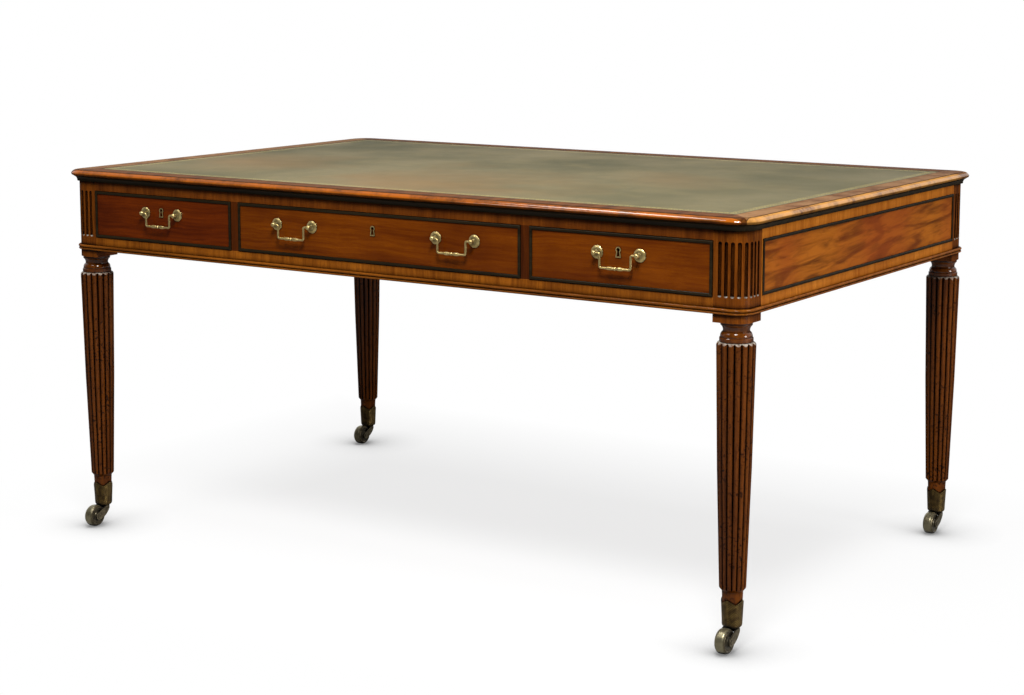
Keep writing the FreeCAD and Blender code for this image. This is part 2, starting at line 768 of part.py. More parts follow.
def cut_reeds(body):
    """Grooves all round the leg's shaft that leave its reeds standing."""
    top = draw(body, "reed_groove_top", "XY_Plane", reed_groove("shaft_top_radius", "reed_depth_top"),
               f"{SHAFT_TOP} - ring_round / 2")
    middle = draw(body, "reed_groove_middle", "XY_Plane",
                  reed_groove("shaft_middle_radius", "reed_depth_middle"), SHAFT_MIDDLE)
    foot = draw(body, "reed_groove_foot", "XY_Plane", reed_groove("shaft_foot_radius", "reed_depth_foot"),
                f"{ANKLE_TOP} + ring_round / 2")
    groove = body.newObject("PartDesign::SubtractiveLoft", "reed_groove")
    groove.Profile = top
    groove.Sections = [middle, foot]
    groove.Ruled = True
    doc.recompute()
    reeds = body.newObject("PartDesign::PolarPattern", "reeds")
    reeds.Originals = [groove]
    reeds.Axis = (origin_part(body, "Z_Axis"), [""])
    reeds.Angle = 360
    bind(reeds, Occurrences="reed_count")
    body.Tip = reeds
    doc.recompute()


def post_outline():
    """The post's square section with its round outer corner at +X, -Y."""
    half = "post_side / 2"
    return [
        (f"-{half}", f"-{half}"),
        (f"{half} - post_corner_radius", f"-{half}"),
        (half, f"-{half} + post_corner_radius", Arc("post_corner_radius", "left")),
        (half, half),
        (f"-{half}", half),
    ]


def flute_spot(distance):
    """The point on the post's outline at a distance round from the middle of its round corner."""
    half = number("post_side") / 2
    radius = number("post_corner_radius")
    bend = radius * math.pi / 4
    straight = max(abs(distance) - bend, 0)
    angle = math.copysign(min(abs(distance), bend) / radius, distance) - math.pi / 4
    x = half - radius + radius * math.cos(angle)
    y = radius - half + radius * math.sin(angle)
    return (x, y + straight) if distance > 0 else (x - straight, y)


def make_flutes():
    """Cutters for the stopped flutes: round-ended bars whose axes lie on the post's outline."""
    low = f"({OPENING_BOTTOM} + flute_margin + flute_radius)"
    length = "(opening_height - 2 * flute_margin - 2 * flute_radius)"
    flutes = []
    count = int(number("flutes_per_side"))
    for index in range(-count, count):
        x, y = (str(value) for value in flute_spot((index + 0.5) * number("flute_pitch")))
        pieces = [cylinder(f"flute_bar_{index}", "flute_radius", length, (x, y, low))]
        for end, level in (("low", low), ("high", f"{low} + {length}")):
            ball = doc.addObject("Part::Sphere", f"flute_{end}_{index}")
            pieces.append(place(bind(ball, Radius="flute_radius"), x, y, level))
        flutes.append(fuse(f"flute_{index}", pieces))
    return flutes


def make_mortises():
    """Cutters for the mortises in a post's two inner faces."""
    deep = "(tenon_length + tenon_clearance)"
    wide = "(tenon_thickness + 2 * tenon_clearance)"
    high = "(tenon_height + 2 * tenon_clearance)"
    outer = "(post_side / 2 - tenon_inset + tenon_clearance)"
    mortises = []
    for index, level in enumerate((LOWER_TENON, UPPER_TENON)):
        low = f"{level} - tenon_clearance"
        long_corner = ("-post_side / 2", f"-{outer}", low)
        mortises.append(box(f"long_mortise_{index}", (deep, wide, high), long_corner))
        end_corner = (f"{outer} - {wide}", f"post_side / 2 - {deep}", low)
        mortises.append(box(f"end_mortise_{index}", (wide, deep, high), end_corner))
    return mortises


def make_legs():
    """Four legs alike, each turned so that its round fluted corner is the table's corner."""
    body = turned("leg_turned", leg_outline())
    cut_reeds(body)
    section = draw(body, "post_section", "XY_Plane", post_outline(), BLOCK_BOTTOM)
    pad(body, "post", section, f"{TOP_UNDER} - {BLOCK_BOTTOM}")
    leg = cut("leg_pattern", body, [*make_mortises(), *make_flutes()])
    for corner, (right, back, angle) in CORNERS.items():
        spot = (f"{right} * {LEG_X}", f"{back} * {LEG_Y}", "0")
        node(copy_at(f"{corner}_leg", leg, spot, FreeCAD.Rotation(Z_AXIS, angle)))


def make_socket():
    """A brass cup round the leg's foot, its rim notched into four pointed leaves."""
    bore = "swivel_pin_radius + running_clearance"
    base = Swell("socket_base_fullness", "left")
    body = turned("socket_pattern", [
        (bore, "socket_underside"),
        ("socket_base_radius", "socket_underside"),
        ("foot_radius + socket_wall", "socket_underside + socket_base_round", base),
        ("ankle_radius + socket_wall", SOCKET_TOP),
        ("ankle_radius + socket_clearance", SOCKET_TOP),
        ("foot_radius + socket_clearance", "socket_underside + socket_floor"),
        (bore, "socket_underside + socket_floor"),
    ])
    half = "(socket_notch_width / 2)"
    notch = [
        ("0", f"{SOCKET_TOP} - socket_notch"),
        (half, SOCKET_TOP),
        (half, f"{SOCKET_TOP} + socket_notch"),
        (f"-{half}", f"{SOCKET_TOP} + socket_notch"),
        (f"-{half}", SOCKET_TOP),
    ]
    for role in ("XZ_Plane", "YZ_Plane"):
        gap = body.newObject("PartDesign::Pocket", f"socket_notch_{role[:2]}")
        gap.Profile = draw(body, f"socket_notch_outline_{role[:2]}", role, notch)
        gap.Midplane = True
        bind(gap, Length="4 * (ankle_radius + socket_wall)")
    return body


def make_fork():
    """The swivelling fork with its pin, and the axle through its two cheeks."""
    cheek_face = "(wheel_width / 2 + cheek_gap)"
    cheek_body = new_body("fork_cheek")
    boss = Arc("cheek_boss", "left")
    outline = [
        ("cheek_back", CROWN_TOP),
        ("-crown_front", CROWN_TOP),
        ("-castor_trail", "wheel_radius + cheek_boss"),
        ("-castor_trail - cheek_boss", "wheel_radius", boss),
        ("-castor_trail", "wheel_radius - cheek_boss", boss),
        ("cheek_back", CROWN_UNDER, Swell("cheek_fullness", "left")),
    ]
    cheek = draw(cheek_body, "fork_cheek_outline", "YZ_Plane", outline)
    pad(cheek_body, "fork_cheek_plate", cheek, "cheek_thickness")
    cheeks = [copy_at("fork_cheek_right", cheek_body, (cheek_face, "0", "0")),
              copy_at("fork_cheek_left", cheek_body, (f"-{cheek_face} - cheek_thickness", "0", "0"))]
    crown = box("fork_crown", (f"2 * {cheek_face}", "crown_front + crown_back", "crown_height"),
                (f"-{cheek_face}", "-crown_front", CROWN_UNDER))
    pin = cylinder("fork_pin", "swivel_pin_radius", "crown_height + socket_floor", ("0", "0", CROWN_UNDER))
    whole = fuse("fork_whole", [*cheeks, crown, pin])
    half_span = f"({cheek_face} + cheek_thickness)"
    bore = cylinder("fork_bore", "axle_radius + running_clearance", f"2 * {half_span}",
                    (f"-{half_span}", "-castor_trail", "wheel_radius"), ALONG_X)
    axle = cylinder("fork_axle", "axle_radius", f"2 * {half_span} + 2 * axle_head",
                    (f"-{half_span} - axle_head", "-castor_trail", "wheel_radius"), ALONG_X)
    return compound("fork_pattern", [cut("fork_bored", whole, [bore]), axle])


def make_wheel():
    """A brass wheel with a rounded tread and dished faces, turned about its axle."""
    half = "(wheel_width / 2)"
    dished = f"({half} - wheel_dish)"
    bore = "axle_radius + running_clearance"
    rim = "wheel_radius - wheel_rim"
    shoulder = "wheel_radius - wheel_shoulder"
    bend = Swell("wheel_fullness", "left")
    return turned("wheel_pattern", [
        (bore, f"-{half}"),
        ("wheel_hub_radius", f"-{half}"),
        ("wheel_hub_radius + wheel_dish", f"-{dished}"),
        (f"{rim} - wheel_dish", f"-{dished}"),
        (rim, f"-{half}"),
        (shoulder, f"-{half}"),
        ("wheel_radius", "-wheel_tread / 2", bend),
        ("wheel_radius", "wheel_tread / 2"),
        (shoulder, half, bend),
        (rim, half),
        (f"{rim} - wheel_dish", dished),
        ("wheel_hub_radius + wheel_dish", dished),
        ("wheel_hub_radius", half),
        (bore, half),
    ])


def make_castors():
    """A socket, a fork and a wheel under each leg, with every fork trailing to the front."""
    socket, fork, wheel = make_socket(), make_fork(), make_wheel()
    leaves_outward = FreeCAD.Rotation(Z_AXIS, 45)
    sockets = []
    for corner, (right, back, angle) in CORNERS.items():
        x, y = f"{right} * {LEG_X}", f"{back} * {LEG_Y}"
        sockets.append(copy_at(f"{corner}_socket", socket, (x, y, "0"), leaves_outward))
        node(copy_at(f"{corner}_castor_fork", fork, (x, y, "0")))
        node(copy_at(f"{corner}_castor_wheel", wheel, (x, f"{y} - castor_trail", "wheel_radius"), ALONG_X))
    node(compound("castor_sockets", sockets))


def make_runners():
    """What carries and guides the drawers, and the stops that end their way in."""
    end_run = f"2 * {POST_Y}"
    middle_run = f"{BACK_INSIDE} + {POST_Y}"
    low = f"{OPENING_BOTTOM} - runner_height"
    end_width = f"({END_INSIDE} - {RUNNER_EDGE})"
    guide_width = f"({END_INSIDE} - {POST_X})"
    middle_width = "divider_width + 2 * runner_ledge"
    runners = []
    for side, sign in SIDES.items():
        bar_x = f"{sign} * {END_KICKER_X}"
        guide_x = f"{sign} * ({POST_X} + {END_INSIDE}) / 2"
        divider_x = f"{sign} * {DIVIDER_X}"
        bar = centred_box(f"{side}_end_bar", (end_width, end_run, "runner_height"),
                          (bar_x, f"-{POST_Y}", low))
        guide = centred_box(f"{side}_end_guide", (guide_width, end_run, "guide_height"),
                            (guide_x, f"-{POST_Y}", OPENING_BOTTOM))
        runners.append(fuse(f"{side}_end_runner", [bar, guide]))
        bar = centred_box(f"{side}_middle_bar", (middle_width, middle_run, "runner_height"),
                          (divider_x, f"-{POST_Y}", low))
        guide = centred_box(f"{side}_middle_guide", ("divider_width", middle_run, "guide_height"),
                            (divider_x, f"-{POST_Y}", OPENING_BOTTOM))
        runners.append(fuse(f"{side}_middle_runner", [bar, guide]))
    node(compound("drawer_runners", runners))

    stops = []
    for drawer, (x, width) in DRAWERS.items():
        for side, sign in SIDES.items():
            spot = f"{x} + {sign} * ({width} / 2 - stop_inset)"
            stops.append(centred_box(f"{drawer}_{side}_stop", ("stop_length", "stop_depth", "stop_height"),
                                     (spot, FRONT_BACK, OPENING_BOTTOM)))
    node(compound("drawer_stops", stops))


def make_kickers():
    """The bars over the drawers, and the screws up through them that hold the top down."""
    end_size = (f"{END_INSIDE} - {RUNNER_EDGE}", f"2 * {POST_Y}", "top_rail_height")
    middle_size = ("divider_width + 2 * runner_ledge", f"{BACK_INSIDE} + {POST_Y}", "top_rail_height")
    kickers = []
    for side, sign in SIDES.items():
        for name, size, x in (("end", end_size, END_KICKER_X), ("middle", middle_size, DIVIDER_X)):
            corner = (f"{sign} * {x}", f"-{POST_Y}", OPENING_TOP)
            kickers.append(centred_box(f"{side}_{name}_kicker", size, corner))
    head_low = f"{OPENING_TOP} + screw_recess"
    shank_length = "top_rail_height - screw_recess - screw_head_height + screw_bite"
    wells, screws = [], []
    for index, spot in enumerate(screw_places()):
        wells.append(fuse(f"screw_hole_{index}", [
            cylinder(f"screw_well_{index}", "screw_head_radius + screw_clearance",
                     "screw_recess + screw_head_height", (*spot, OPENING_TOP)),
            cylinder(f"screw_way_{index}", "screw_shank_radius + screw_clearance",
                     "top_rail_height", (*spot, OPENING_TOP))]))
        screws.append(fuse(f"screw_{index}", [
            cylinder(f"screw_head_{index}", "screw_head_radius", "screw_head_height", (*spot, head_low)),
            cylinder(f"screw_shank_{index}", "screw_shank_radius", shank_length,
                     (*spot, f"{head_low} + screw_head_height"))]))
    node(cut("drawer_kickers", compound("kicker_bars", kickers), wells))
    node(compound("top_fixing_screws", screws))


def make_handle_post():
    """A handle post: a lobed rose, a ball drilled for the bail, and a shank through the drawer front."""
    ball = Arc("ball_radius", "left")
    body = turned("handle_post_turned", [
        ("0", "-front_thickness - nut_thickness"),
        ("shank_radius", "-front_thickness - nut_thickness"),
        ("shank_radius", "0"),
        ("rose_radius", "0"),
        ("rose_radius", "rose_edge"),
        ("post_neck_radius + post_neck_foot", "rose_thickness", Swell("rose_fullness", "left")),
        ("post_neck_radius", "rose_thickness + post_neck_rise"),
        ("post_neck_radius", "ball_height - sqrt(ball_radius ^ 2 - post_neck_radius ^ 2)"),
        ("ball_radius", "ball_height", ball),
        ("0", "ball_height + ball_radius", ball),
    ])
    cutters = []
    lobes = int(number("rose_lobes"))
    for index in range(lobes):
        angle = 2 * math.pi * index / lobes
        spot = (f"(rose_radius + rose_notch / 2) * {math.cos(angle)}",
                f"(rose_radius + rose_notch / 2) * {math.sin(angle)}", "-rose_thickness / 2")
        cutters.append(cylinder(f"rose_notch_{index}", "rose_notch", "2 * rose_thickness", spot))
    drill_start = ("ball_radius - bail_stub - bail_pin_clearance", "0", "ball_height")
    drill_radius = "bail_rod_radius + bail_pin_clearance"
    cutters.append(cylinder("bail_hole", drill_radius, "2 * ball_radius", drill_start, ALONG_X))
    return cut("handle_post_pattern", body, cutters)


def make_bail():
    """A swing handle: two bent arms whose ends are its pins, and a grip turned with beads between them."""
    end = "(rose_spacing / 2 - ball_radius + bail_stub)"
    arm = "(bail_spacing / 2)"
    body = new_body("bail_arm")
    path = draw(body, "bail_arm_path", "XZ_Plane", [
        (f"-{end}", "0"),
        (f"-{arm} - bail_bend", "0"),
        (f"-{arm}", "-bail_bend", Arc("bail_bend", "right")),
        (f"-{arm}", "-bail_drop + bail_bend"),
        (f"-{arm} + bail_bend", "-bail_drop", Arc("bail_bend", "left")),
    ], closed=False)
    section = draw_circle(body, "bail_arm_section", "YZ_Plane", "bail_rod_radius", f"-{end}")
    pipe(body, "bail_arm_sweep", section, path)
    other_arm = copy_at("bail_other_arm", body, ("0", "0", "0"), HALF_TURN)

    grip_end = f"({arm} - bail_bend)"
    bead_end = "(olive_offset - olive_length / 2)"
    olive = Swell("(olive_radius - bail_rod_radius) / olive_length", "left")
    bead = Swell(f"(olive_radius - bail_rod_radius) / (2 * {bead_end})", "left")
    grip = turned("bail_grip", [
        ("0", f"-{grip_end}"),
        ("bail_rod_radius", f"-{grip_end}"),
        ("bail_rod_radius", f"-{bead_end} - olive_length"),
        ("bail_rod_radius", f"-{bead_end}", olive),
        ("bail_rod_radius", bead_end, bead),
        ("bail_rod_radius", f"{bead_end} + olive_length", olive),
        ("bail_rod_radius", grip_end),
        ("0", grip_end),
    ])
    place(grip, "0", "0", "-bail_drop", ALONG_X)
    return fuse("bail_pattern", [body, grip, other_arm])


def keyhole_outline(rim):
    """A keyhole's outline, round above and flared below, widened all round by a rim."""
    top = f"(keyhole_radius + {rim})"
    waist = f"(keyhole_waist + {rim})"
    foot = f"(keyhole_foot + {rim})"
    shoulder = f"(-sqrt({top} ^ 2 - {waist} ^ 2))"
    low = f"(-keyhole_drop - {rim})"
    ring = Arc(top, "left")
    return [
        (f"-{foot}", low),
        (foot, low),
        (waist, shoulder),
        (top, "0", ring),
        ("0", top, ring),
        (f"-{top}", "0", ring),
        (f"-{waist}", shoulder, ring),
    ]


def make_keyhole():
    """The brass keyhole plate, and the keyhole's own shape that is cut through the drawer fronts."""
    plate = new_body("escutcheon_plate")
    outside = draw(plate, "escutcheon_outline", "XY_Plane", keyhole_outline("escutcheon_rim"))
    pad(plate, "escutcheon_pad", outside, "escutcheon_thickness")
    hole = new_body("keyhole_cutter")
    start = "-front_thickness - escutcheon_thickness"
    inside = draw(hole, "keyhole_outline", "XY_Plane", keyhole_outline("0"), start)
    pad(hole, "keyhole_pad", inside, "front_thickness + 3 * escutcheon_thickness")
    return cut("escutcheon_pattern", plate, [hole]), hole


def make_drawer_front(name, x, width, keyhole, post_spots):
    """A drawer's front board, rebated for its bead, grooved for its bottom and bored for its fittings."""
    height = "(opening_height - 2 * drawer_gap)"
    low = f"({OPENING_BOTTOM} + drawer_gap)"
    blank = fuse(f"{name}_blank", [
        centred_box(f"{name}_front_core", (width, "front_thickness - bead_rebate", height),
                    (x, f"{FRONT_FACE} + bead_rebate", low)),
        centred_box(f"{name}_front_face",
                    (f"{width} - 2 * cock_bead_width", "front_thickness", f"{height} - 2 * cock_bead_width"),
                    (x, FRONT_FACE, f"{low} + cock_bead_width"))])
    groove_size = (f"{width} - 2 * side_thickness + 2 * bottom_groove", "bottom_groove + bottom_clearance",
                   "bottom_thickness + 2 * bottom_clearance")
    groove_corner = (x, f"{FRONT_BACK} - bottom_groove - bottom_clearance",
                     f"{OPENING_BOTTOM} + bottom_lift - bottom_clearance")
    cutters = [centred_box(f"{name}_front_groove", groove_size, groove_corner),
               copy_at(f"{name}_keyhole", keyhole, (x, FRONT_FACE, KEYHOLE_Z), UPRIGHT)]
    hole_radius = "shank_radius + shank_clearance"
    for index, spot in enumerate(post_spots):
        cutters.append(cylinder(f"{name}_shank_hole_{index}", hole_radius, "front_thickness",
                                (spot, FRONT_BACK, HANDLE_Z), UPRIGHT))
    node(cut(f"{name}_front", blank, cutters))
    bead = cock_bead(f"{name}_bead", width, height, "bead_rebate")
    node(place(bead, x, FRONT_FACE, f"{low} + {height} / 2", UPRIGHT))


def make_drawer_box(name, x, width):
    """A drawer's two grooved sides, its back, and the bottom board that slides into the grooves."""
    length = "(drawer_length - front_thickness)"
    inner_width = f"({width} - 2 * side_thickness)"
    floor = f"({OPENING_BOTTOM} + bottom_lift)"
    groove_height = "bottom_thickness + 2 * bottom_clearance"
    pieces = []
    for side, sign in SIDES.items():
        board = centred_box(f"{name}_{side}_board", ("side_thickness", length, "side_height"),
                            (f"{x} + {sign} * ({width} - side_thickness) / 2", FRONT_BACK, OPENING_BOTTOM))
        groove = centred_box(f"{name}_{side}_groove", ("bottom_groove", length, groove_height),
                             (f"{x} + {sign} * ({inner_width} + bottom_groove) / 2", FRONT_BACK,
                              f"{floor} - bottom_clearance"))
        pieces.append(cut(f"{name}_{side}_side", board, [groove]))
    back_low = f"({floor} + bottom_thickness + bottom_clearance)"
    back_height = f"{OPENING_BOTTOM} + side_height - back_drop - {back_low}"
    pieces.append(centred_box(f"{name}_back", (inner_width, "back_thickness", back_height),
                              (x, f"{FRONT_BACK} + {length} - back_thickness", back_low)))
    node(compound(f"{name}_box", pieces))
    bottom_size = (f"{inner_width} + 2 * bottom_groove - 2 * bottom_clearance", f"{length} + bottom_groove",
                   "bottom_thickness")
    node(centred_box(f"{name}_bottom", bottom_size, (x, f"{FRONT_BACK} - bottom_groove", floor)))


def make_lock(name, x):
    """A drawer's lock case behind its front, and the bolt that slides up out of it."""
    case = centred_box(f"{name}_lock_blank", ("lock_width", "lock_thickness", "lock_height"),
                       (x, FRONT_BACK, f"{DRAWER_TOP} - lock_height"))
    slot_size = ("bolt_width + 2 * bolt_clearance", "bolt_thickness + 2 * bolt_clearance",
                 "bolt_height + 2 * bolt_clearance")
    slot = centred_box(f"{name}_lock_slot", slot_size,
                       (x, f"{BOLT_FRONT} - bolt_clearance", f"{BOLT_LOW} - bolt_clearance"))
    node(cut(f"{name}_lock_case", case, [slot]))
    bolt_size = ("bolt_width", "bolt_thickness", "bolt_height")
    node(centred_box(f"{name}_lock_bolt", bolt_size, (x, BOLT_FRONT, BOLT_LOW)))


def make_handles(name, handles, post, bail):
    """A drawer's handle posts with their nuts, as one group, and each bail by itself."""
    fittings = []
    for handle, middle in handles.items():
        for side, sign in SIDES.items():
            spot = f"{middle} + {sign} * rose_spacing / 2"
            inwards = UPRIGHT.multiply(FreeCAD.Rotation(Z_AXIS, 0 if sign < 0 else 180))
            label = f"{name}_{handle}_{side}"
            fittings.append(copy_at(f"{label}_post", post, (spot, FRONT_FACE, HANDLE_Z), inwards))
            nut = centred_box(f"{label}_nut_blank", ("nut_side", "nut_thickness", "nut_side"),
                              (spot, FRONT_BACK, f"{HANDLE_Z} - nut_side / 2"))
            thread = cylinder(f"{label}_thread", "shank_radius + shank_clearance", "nut_thickness",
                              (spot, f"{FRONT_BACK} + nut_thickness", HANDLE_Z), UPRIGHT)
            fittings.append(cut(f"{label}_nut", nut, [thread]))
        node(copy_at(f"{name}_{handle}", bail, (middle, f"{FRONT_FACE} - ball_height", HANDLE_Z)))
    node(compound(f"{name}_handle_posts", fittings))


def make_drawers():
    """The three drawers with their fronts, boxes, locks and handles."""
    post, bail = make_handle_post(), make_bail()
    escutcheon, keyhole = make_keyhole()
    for drawer, (x, opening) in DRAWERS.items():
        name = f"{drawer}_drawer"
        width = f"({opening} - 2 * drawer_gap)"
        post_spots = [f"{middle} + {sign} * rose_spacing / 2"
                      for middle in HANDLES[drawer].values() for sign in SIDES.values()]
        make_drawer_front(name, x, width, keyhole, post_spots)
        make_drawer_box(name, x, width)
        make_lock(name, x)
        make_handles(name, HANDLES[drawer], post, bail)
        node(copy_at(f"{name}_escutcheon", escutcheon, (x, FRONT_FACE, KEYHOLE_Z), UPRIGHT))


CUTTING_FEATURES = ("PartDesign::Pocket", "PartDesign::SubtractiveLoft", "PartDesign::PolarPattern")


def check_objects():
    """Stops the build where an object failed or a cutter missed what it should cut."""
    for thing in doc.Objects:
        if "Invalid" in thing.State or "Error" in thing.State:
            raise RuntimeError(f"{thing.Label} failed: {thing.State}")
        if thing.TypeId == "Part::Cut":
            before = thing.Base
        elif thing.TypeId in CUTTING_FEATURES:
            before = thing.BaseFeature
        else:
            continue
        if thing.Shape.Volume > before.Shape.Volume - 1e-3:
            raise RuntimeError(f"{thing.Label} cuts nothing away")


def write_nodes():
    """Writes each sub-part to its own file, once its shape is sound."""
    os.makedirs("parts", exist_ok=True)
    for thing in nodes:
        shape = thing.Shape
        if shape.isNull() or not shape.isValid() or not shape.Solids:
            raise RuntimeError(f"{thing.Label} has no sound shape")
        shape.exportStep(f"parts/{thing.Label}.step")
        print(thing.Label, len(shape.Solids), "solids", round(shape.Volume / 1000, 2), "cubic centimetres")


make_top()
make_top_border()
make_under_moulding()
make_frieze_moulding()
make_front()
make_back()
make_ends()
make_legs()
make_castors()
make_runners()
make_kickers()
make_drawers()
doc.recompute()
check_objects()
write_nodes()
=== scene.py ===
import logging
import math
from dataclasses import dataclass
from enum import Enum

import bpy
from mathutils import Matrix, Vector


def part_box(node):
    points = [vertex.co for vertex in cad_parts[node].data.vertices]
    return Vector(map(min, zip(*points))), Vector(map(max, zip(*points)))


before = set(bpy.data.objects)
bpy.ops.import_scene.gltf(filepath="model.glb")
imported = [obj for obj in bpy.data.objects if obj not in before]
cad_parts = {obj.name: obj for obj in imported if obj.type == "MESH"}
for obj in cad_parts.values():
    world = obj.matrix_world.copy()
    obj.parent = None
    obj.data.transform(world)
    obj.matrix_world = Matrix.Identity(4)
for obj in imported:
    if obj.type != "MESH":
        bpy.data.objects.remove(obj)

PHOTO_WIDTH = 1024
MM = 0.001

Colour = tuple[float, float, float, float]
Socket = bpy.types.NodeSocket
Source = bpy.types.NodeSocket | float | tuple[float, ...]

log = logging.getLogger("library_table")


def srgb(red: int, green: int, blue: int) -> Colour:
    """Turns a colour as a screen shows it into the linear colour that shaders take.

    Args:
        red: the red part, 0 to 255.
        green: the green part, 0 to 255.
        blue: the blue part, 0 to 255.

    Returns:
        The linear colour with full alpha.
    """
    parts = (part / 255 for part in (red, green, blue))
    linear = (part / 12.92 if part <= 0.04045 else ((part + 0.055) / 1.055) ** 2.4 for part in parts)
    return (*linear, 1.0)


# Shader building blocks


class Grain(Enum):
    """The way a piece's grain runs, as the turn that brings it onto the X axis."""

    ALONG_X = (0.0, 0.0, 0.0)
    ALONG_Y = (0.0, 0.0, -math.pi / 2)
    ALONG_Z = (0.0, math.pi / 2, 0.0)


class Tree:
    """A shader node tree with short calls that add and join its nodes."""

    MIX_FACTOR = 0
    VECTOR_A, VECTOR_B, VECTOR_RESULT = 4, 5, 1
    COLOUR_A, COLOUR_B, COLOUR_RESULT = 6, 7, 2
    BAND_CORE = 0.6

    def __init__(self, tree: bpy.types.NodeTree) -> None:
        """Keeps the node tree of a material, a world or a group."""
        self.tree = tree

    def add(self, kind: str, inputs: dict[str | int, Source] | None = None,
            **settings: object) -> bpy.types.Node:
        """Adds one node.

        Args:
            kind: the node's type name.
            inputs: some of its inputs, by name or number, each a socket to join or a constant.
            settings: properties of the node itself.

        Returns:
            The new node.
        """
        node = self.tree.nodes.new(kind)
        for name, value in settings.items():
            setattr(node, name, value)
        for key, source in (inputs or {}).items():
            if isinstance(source, bpy.types.NodeSocket):
                self.tree.links.new(source, node.inputs[key])
            else:
                node.inputs[key].default_value = source
        return node

    def place(self) -> Socket:
        """Says where a point is in its piece's own frame, which moves with it."""
        return self.add("ShaderNodeTexCoord").outputs["Object"]

    def facing(self) -> tuple[Socket, Socket, Socket]:
        """Says which way a surface faces in its piece's own frame, as X, Y and Z."""
        return self.axes(self.add("ShaderNodeTexCoord").outputs["Normal"])

    def axes(self, vector: Socket) -> tuple[Socket, Socket, Socket]:
        """Splits a vector into its X, Y and Z."""
        split = self.add("ShaderNodeSeparateXYZ", {"Vector": vector})
        return split.outputs["X"], split.outputs["Y"], split.outputs["Z"]

    def calc(self, operation: str, *values: Source) -> Socket:
        """Does one sum, such as ADD, on the values that go in."""
        return self.add("ShaderNodeMath", dict(enumerate(values)), operation=operation).outputs[0]

    def mix(self, factor: Source, first: Source, second: Source) -> Socket:
        """Mixes two colours.

        Args:
            factor: the share of the second colour.
            first: the first colour.
            second: the second colour.

        Returns:
            The mixed colour.
        """
        inputs = {self.MIX_FACTOR: factor, self.COLOUR_A: first, self.COLOUR_B: second}
        return self.add("ShaderNodeMix", inputs, data_type="RGBA").outputs[self.COLOUR_RESULT]

    def mix_places(self, factor: Source, first: Socket, second: Socket) -> Socket:
        """Mixes two places.

        Args:
            factor: the share of the second place.
            first: the first place.
            second: the second place.

        Returns:
            The mixed place.
        """
        inputs = {self.MIX_FACTOR: factor, self.VECTOR_A: first, self.VECTOR_B: second}
        return self.add("ShaderNodeMix", inputs, data_type="VECTOR").outputs[self.VECTOR_RESULT]

    def stretch(self, vector: Socket, along: float, across: float) -> Socket:
        """Squeezes a place, to so many noise features a metre along X and across it."""
        inputs = {0: vector, 1: (along, across, across)}
        return self.add("ShaderNodeVectorMath", inputs, operation="MULTIPLY").outputs["Vector"]

    def turn(self, vector: Socket, angles: tuple[float, float, float]) -> Socket:
        """Turns a place about the origin, by angles about X, Y and Z."""
        return self.add("ShaderNodeMapping", {"Vector": vector, "Rotation": angles}).outputs["Vector"]

    def noise(self, vector: Socket, scale: float, detail: float = 2.0, roughness: float = 0.5) -> Socket:
        """Makes smooth noise.

        Args:
            vector: where it is sampled.
            scale: noise features in each unit of the place.
            detail: how many finer layers it has.
            roughness: how strong the finer layers are.

        Returns:
            The noise, mostly from 0.3 to 0.7.
        """
        inputs = {"Vector": vector, "Scale": scale, "Detail": detail, "Roughness": roughness}
        return self.add("ShaderNodeTexNoise", inputs).outputs["Fac"]

    def span(self, value: Socket, low: float, high: float, to_low: float = 0.0,
             to_high: float = 1.0) -> Socket:
        """Stretches a range of values onto another, and keeps to it.

        Args:
            value: the value.
            low: the start of its range.
            high: the end of its range.
            to_low: what the start becomes.
            to_high: what the end becomes.

        Returns:
            The new value.
        """
        inputs = {"Value": value, "From Min": low, "From Max": high, "To Min": to_low, "To Max": to_high}
        return self.add("ShaderNodeMapRange", inputs, clamp=True).outputs["Result"]

    def band(self, value: Socket, middle: float, half_width: float) -> Socket:
        """Marks a band of values.

        Args:
            value: the value.
            middle: the middle of the band.
            half_width: how far it reaches to each side.

        Returns:
            1 inside the band, 0 outside and soft between.
        """
        away = self.calc("ABSOLUTE", self.calc("SUBTRACT", value, middle))
        return self.span(away, half_width, half_width * self.BAND_CORE)

    def bump(self, height: Socket, distance: float, strength: float) -> Socket:
        """Bends the normal by heights from 0 to 1, where 1 is a distance in metres."""
        inputs = {"Height": height, "Distance": distance, "Strength": strength}
        return self.add("ShaderNodeBump", inputs).outputs["Normal"]


class SharedGroup:
    """A node group that several finishes use. It takes a place and puts out masks and values."""

    def __init__(self, name: str, outputs: tuple[str, ...]) -> None:
        """Makes the group.

        Args:
            name: the group's name.
            outputs: the names of what it puts out.
        """
        self.group = bpy.data.node_groups.new(name, "ShaderNodeTree")
        face = self.group.interface
        face.new_socket(name="Place", in_out="INPUT", socket_type="NodeSocketVector")
        for output in outputs:
            face.new_socket(name=output, in_out="OUTPUT", socket_type="NodeSocketFloat")
        tree = Tree(self.group)
        place = tree.add("NodeGroupInput").outputs["Place"]
        tree.add("NodeGroupOutput", self.masks(tree, place))

    def masks(self, tree: Tree, place: Socket) -> dict[str | int, Source]:
        """Makes what the group puts out.

        Args:
            tree: the group's tree.
            place: the place that comes in.

        Returns:
            A socket for each output's name.
        """
        raise NotImplementedError

    def use(self, tree: Tree, place: Socket) -> dict[str, Socket]:
        """Puts the group into a tree.

        Args:
            tree: the tree of a material.
            place: the place to sample.

        Returns:
            The group's outputs by name.
        """
        node = tree.add("ShaderNodeGroup", node_tree=self.group)
        tree.tree.links.new(place, node.inputs["Place"])
        return {output.name: output for output in node.outputs}


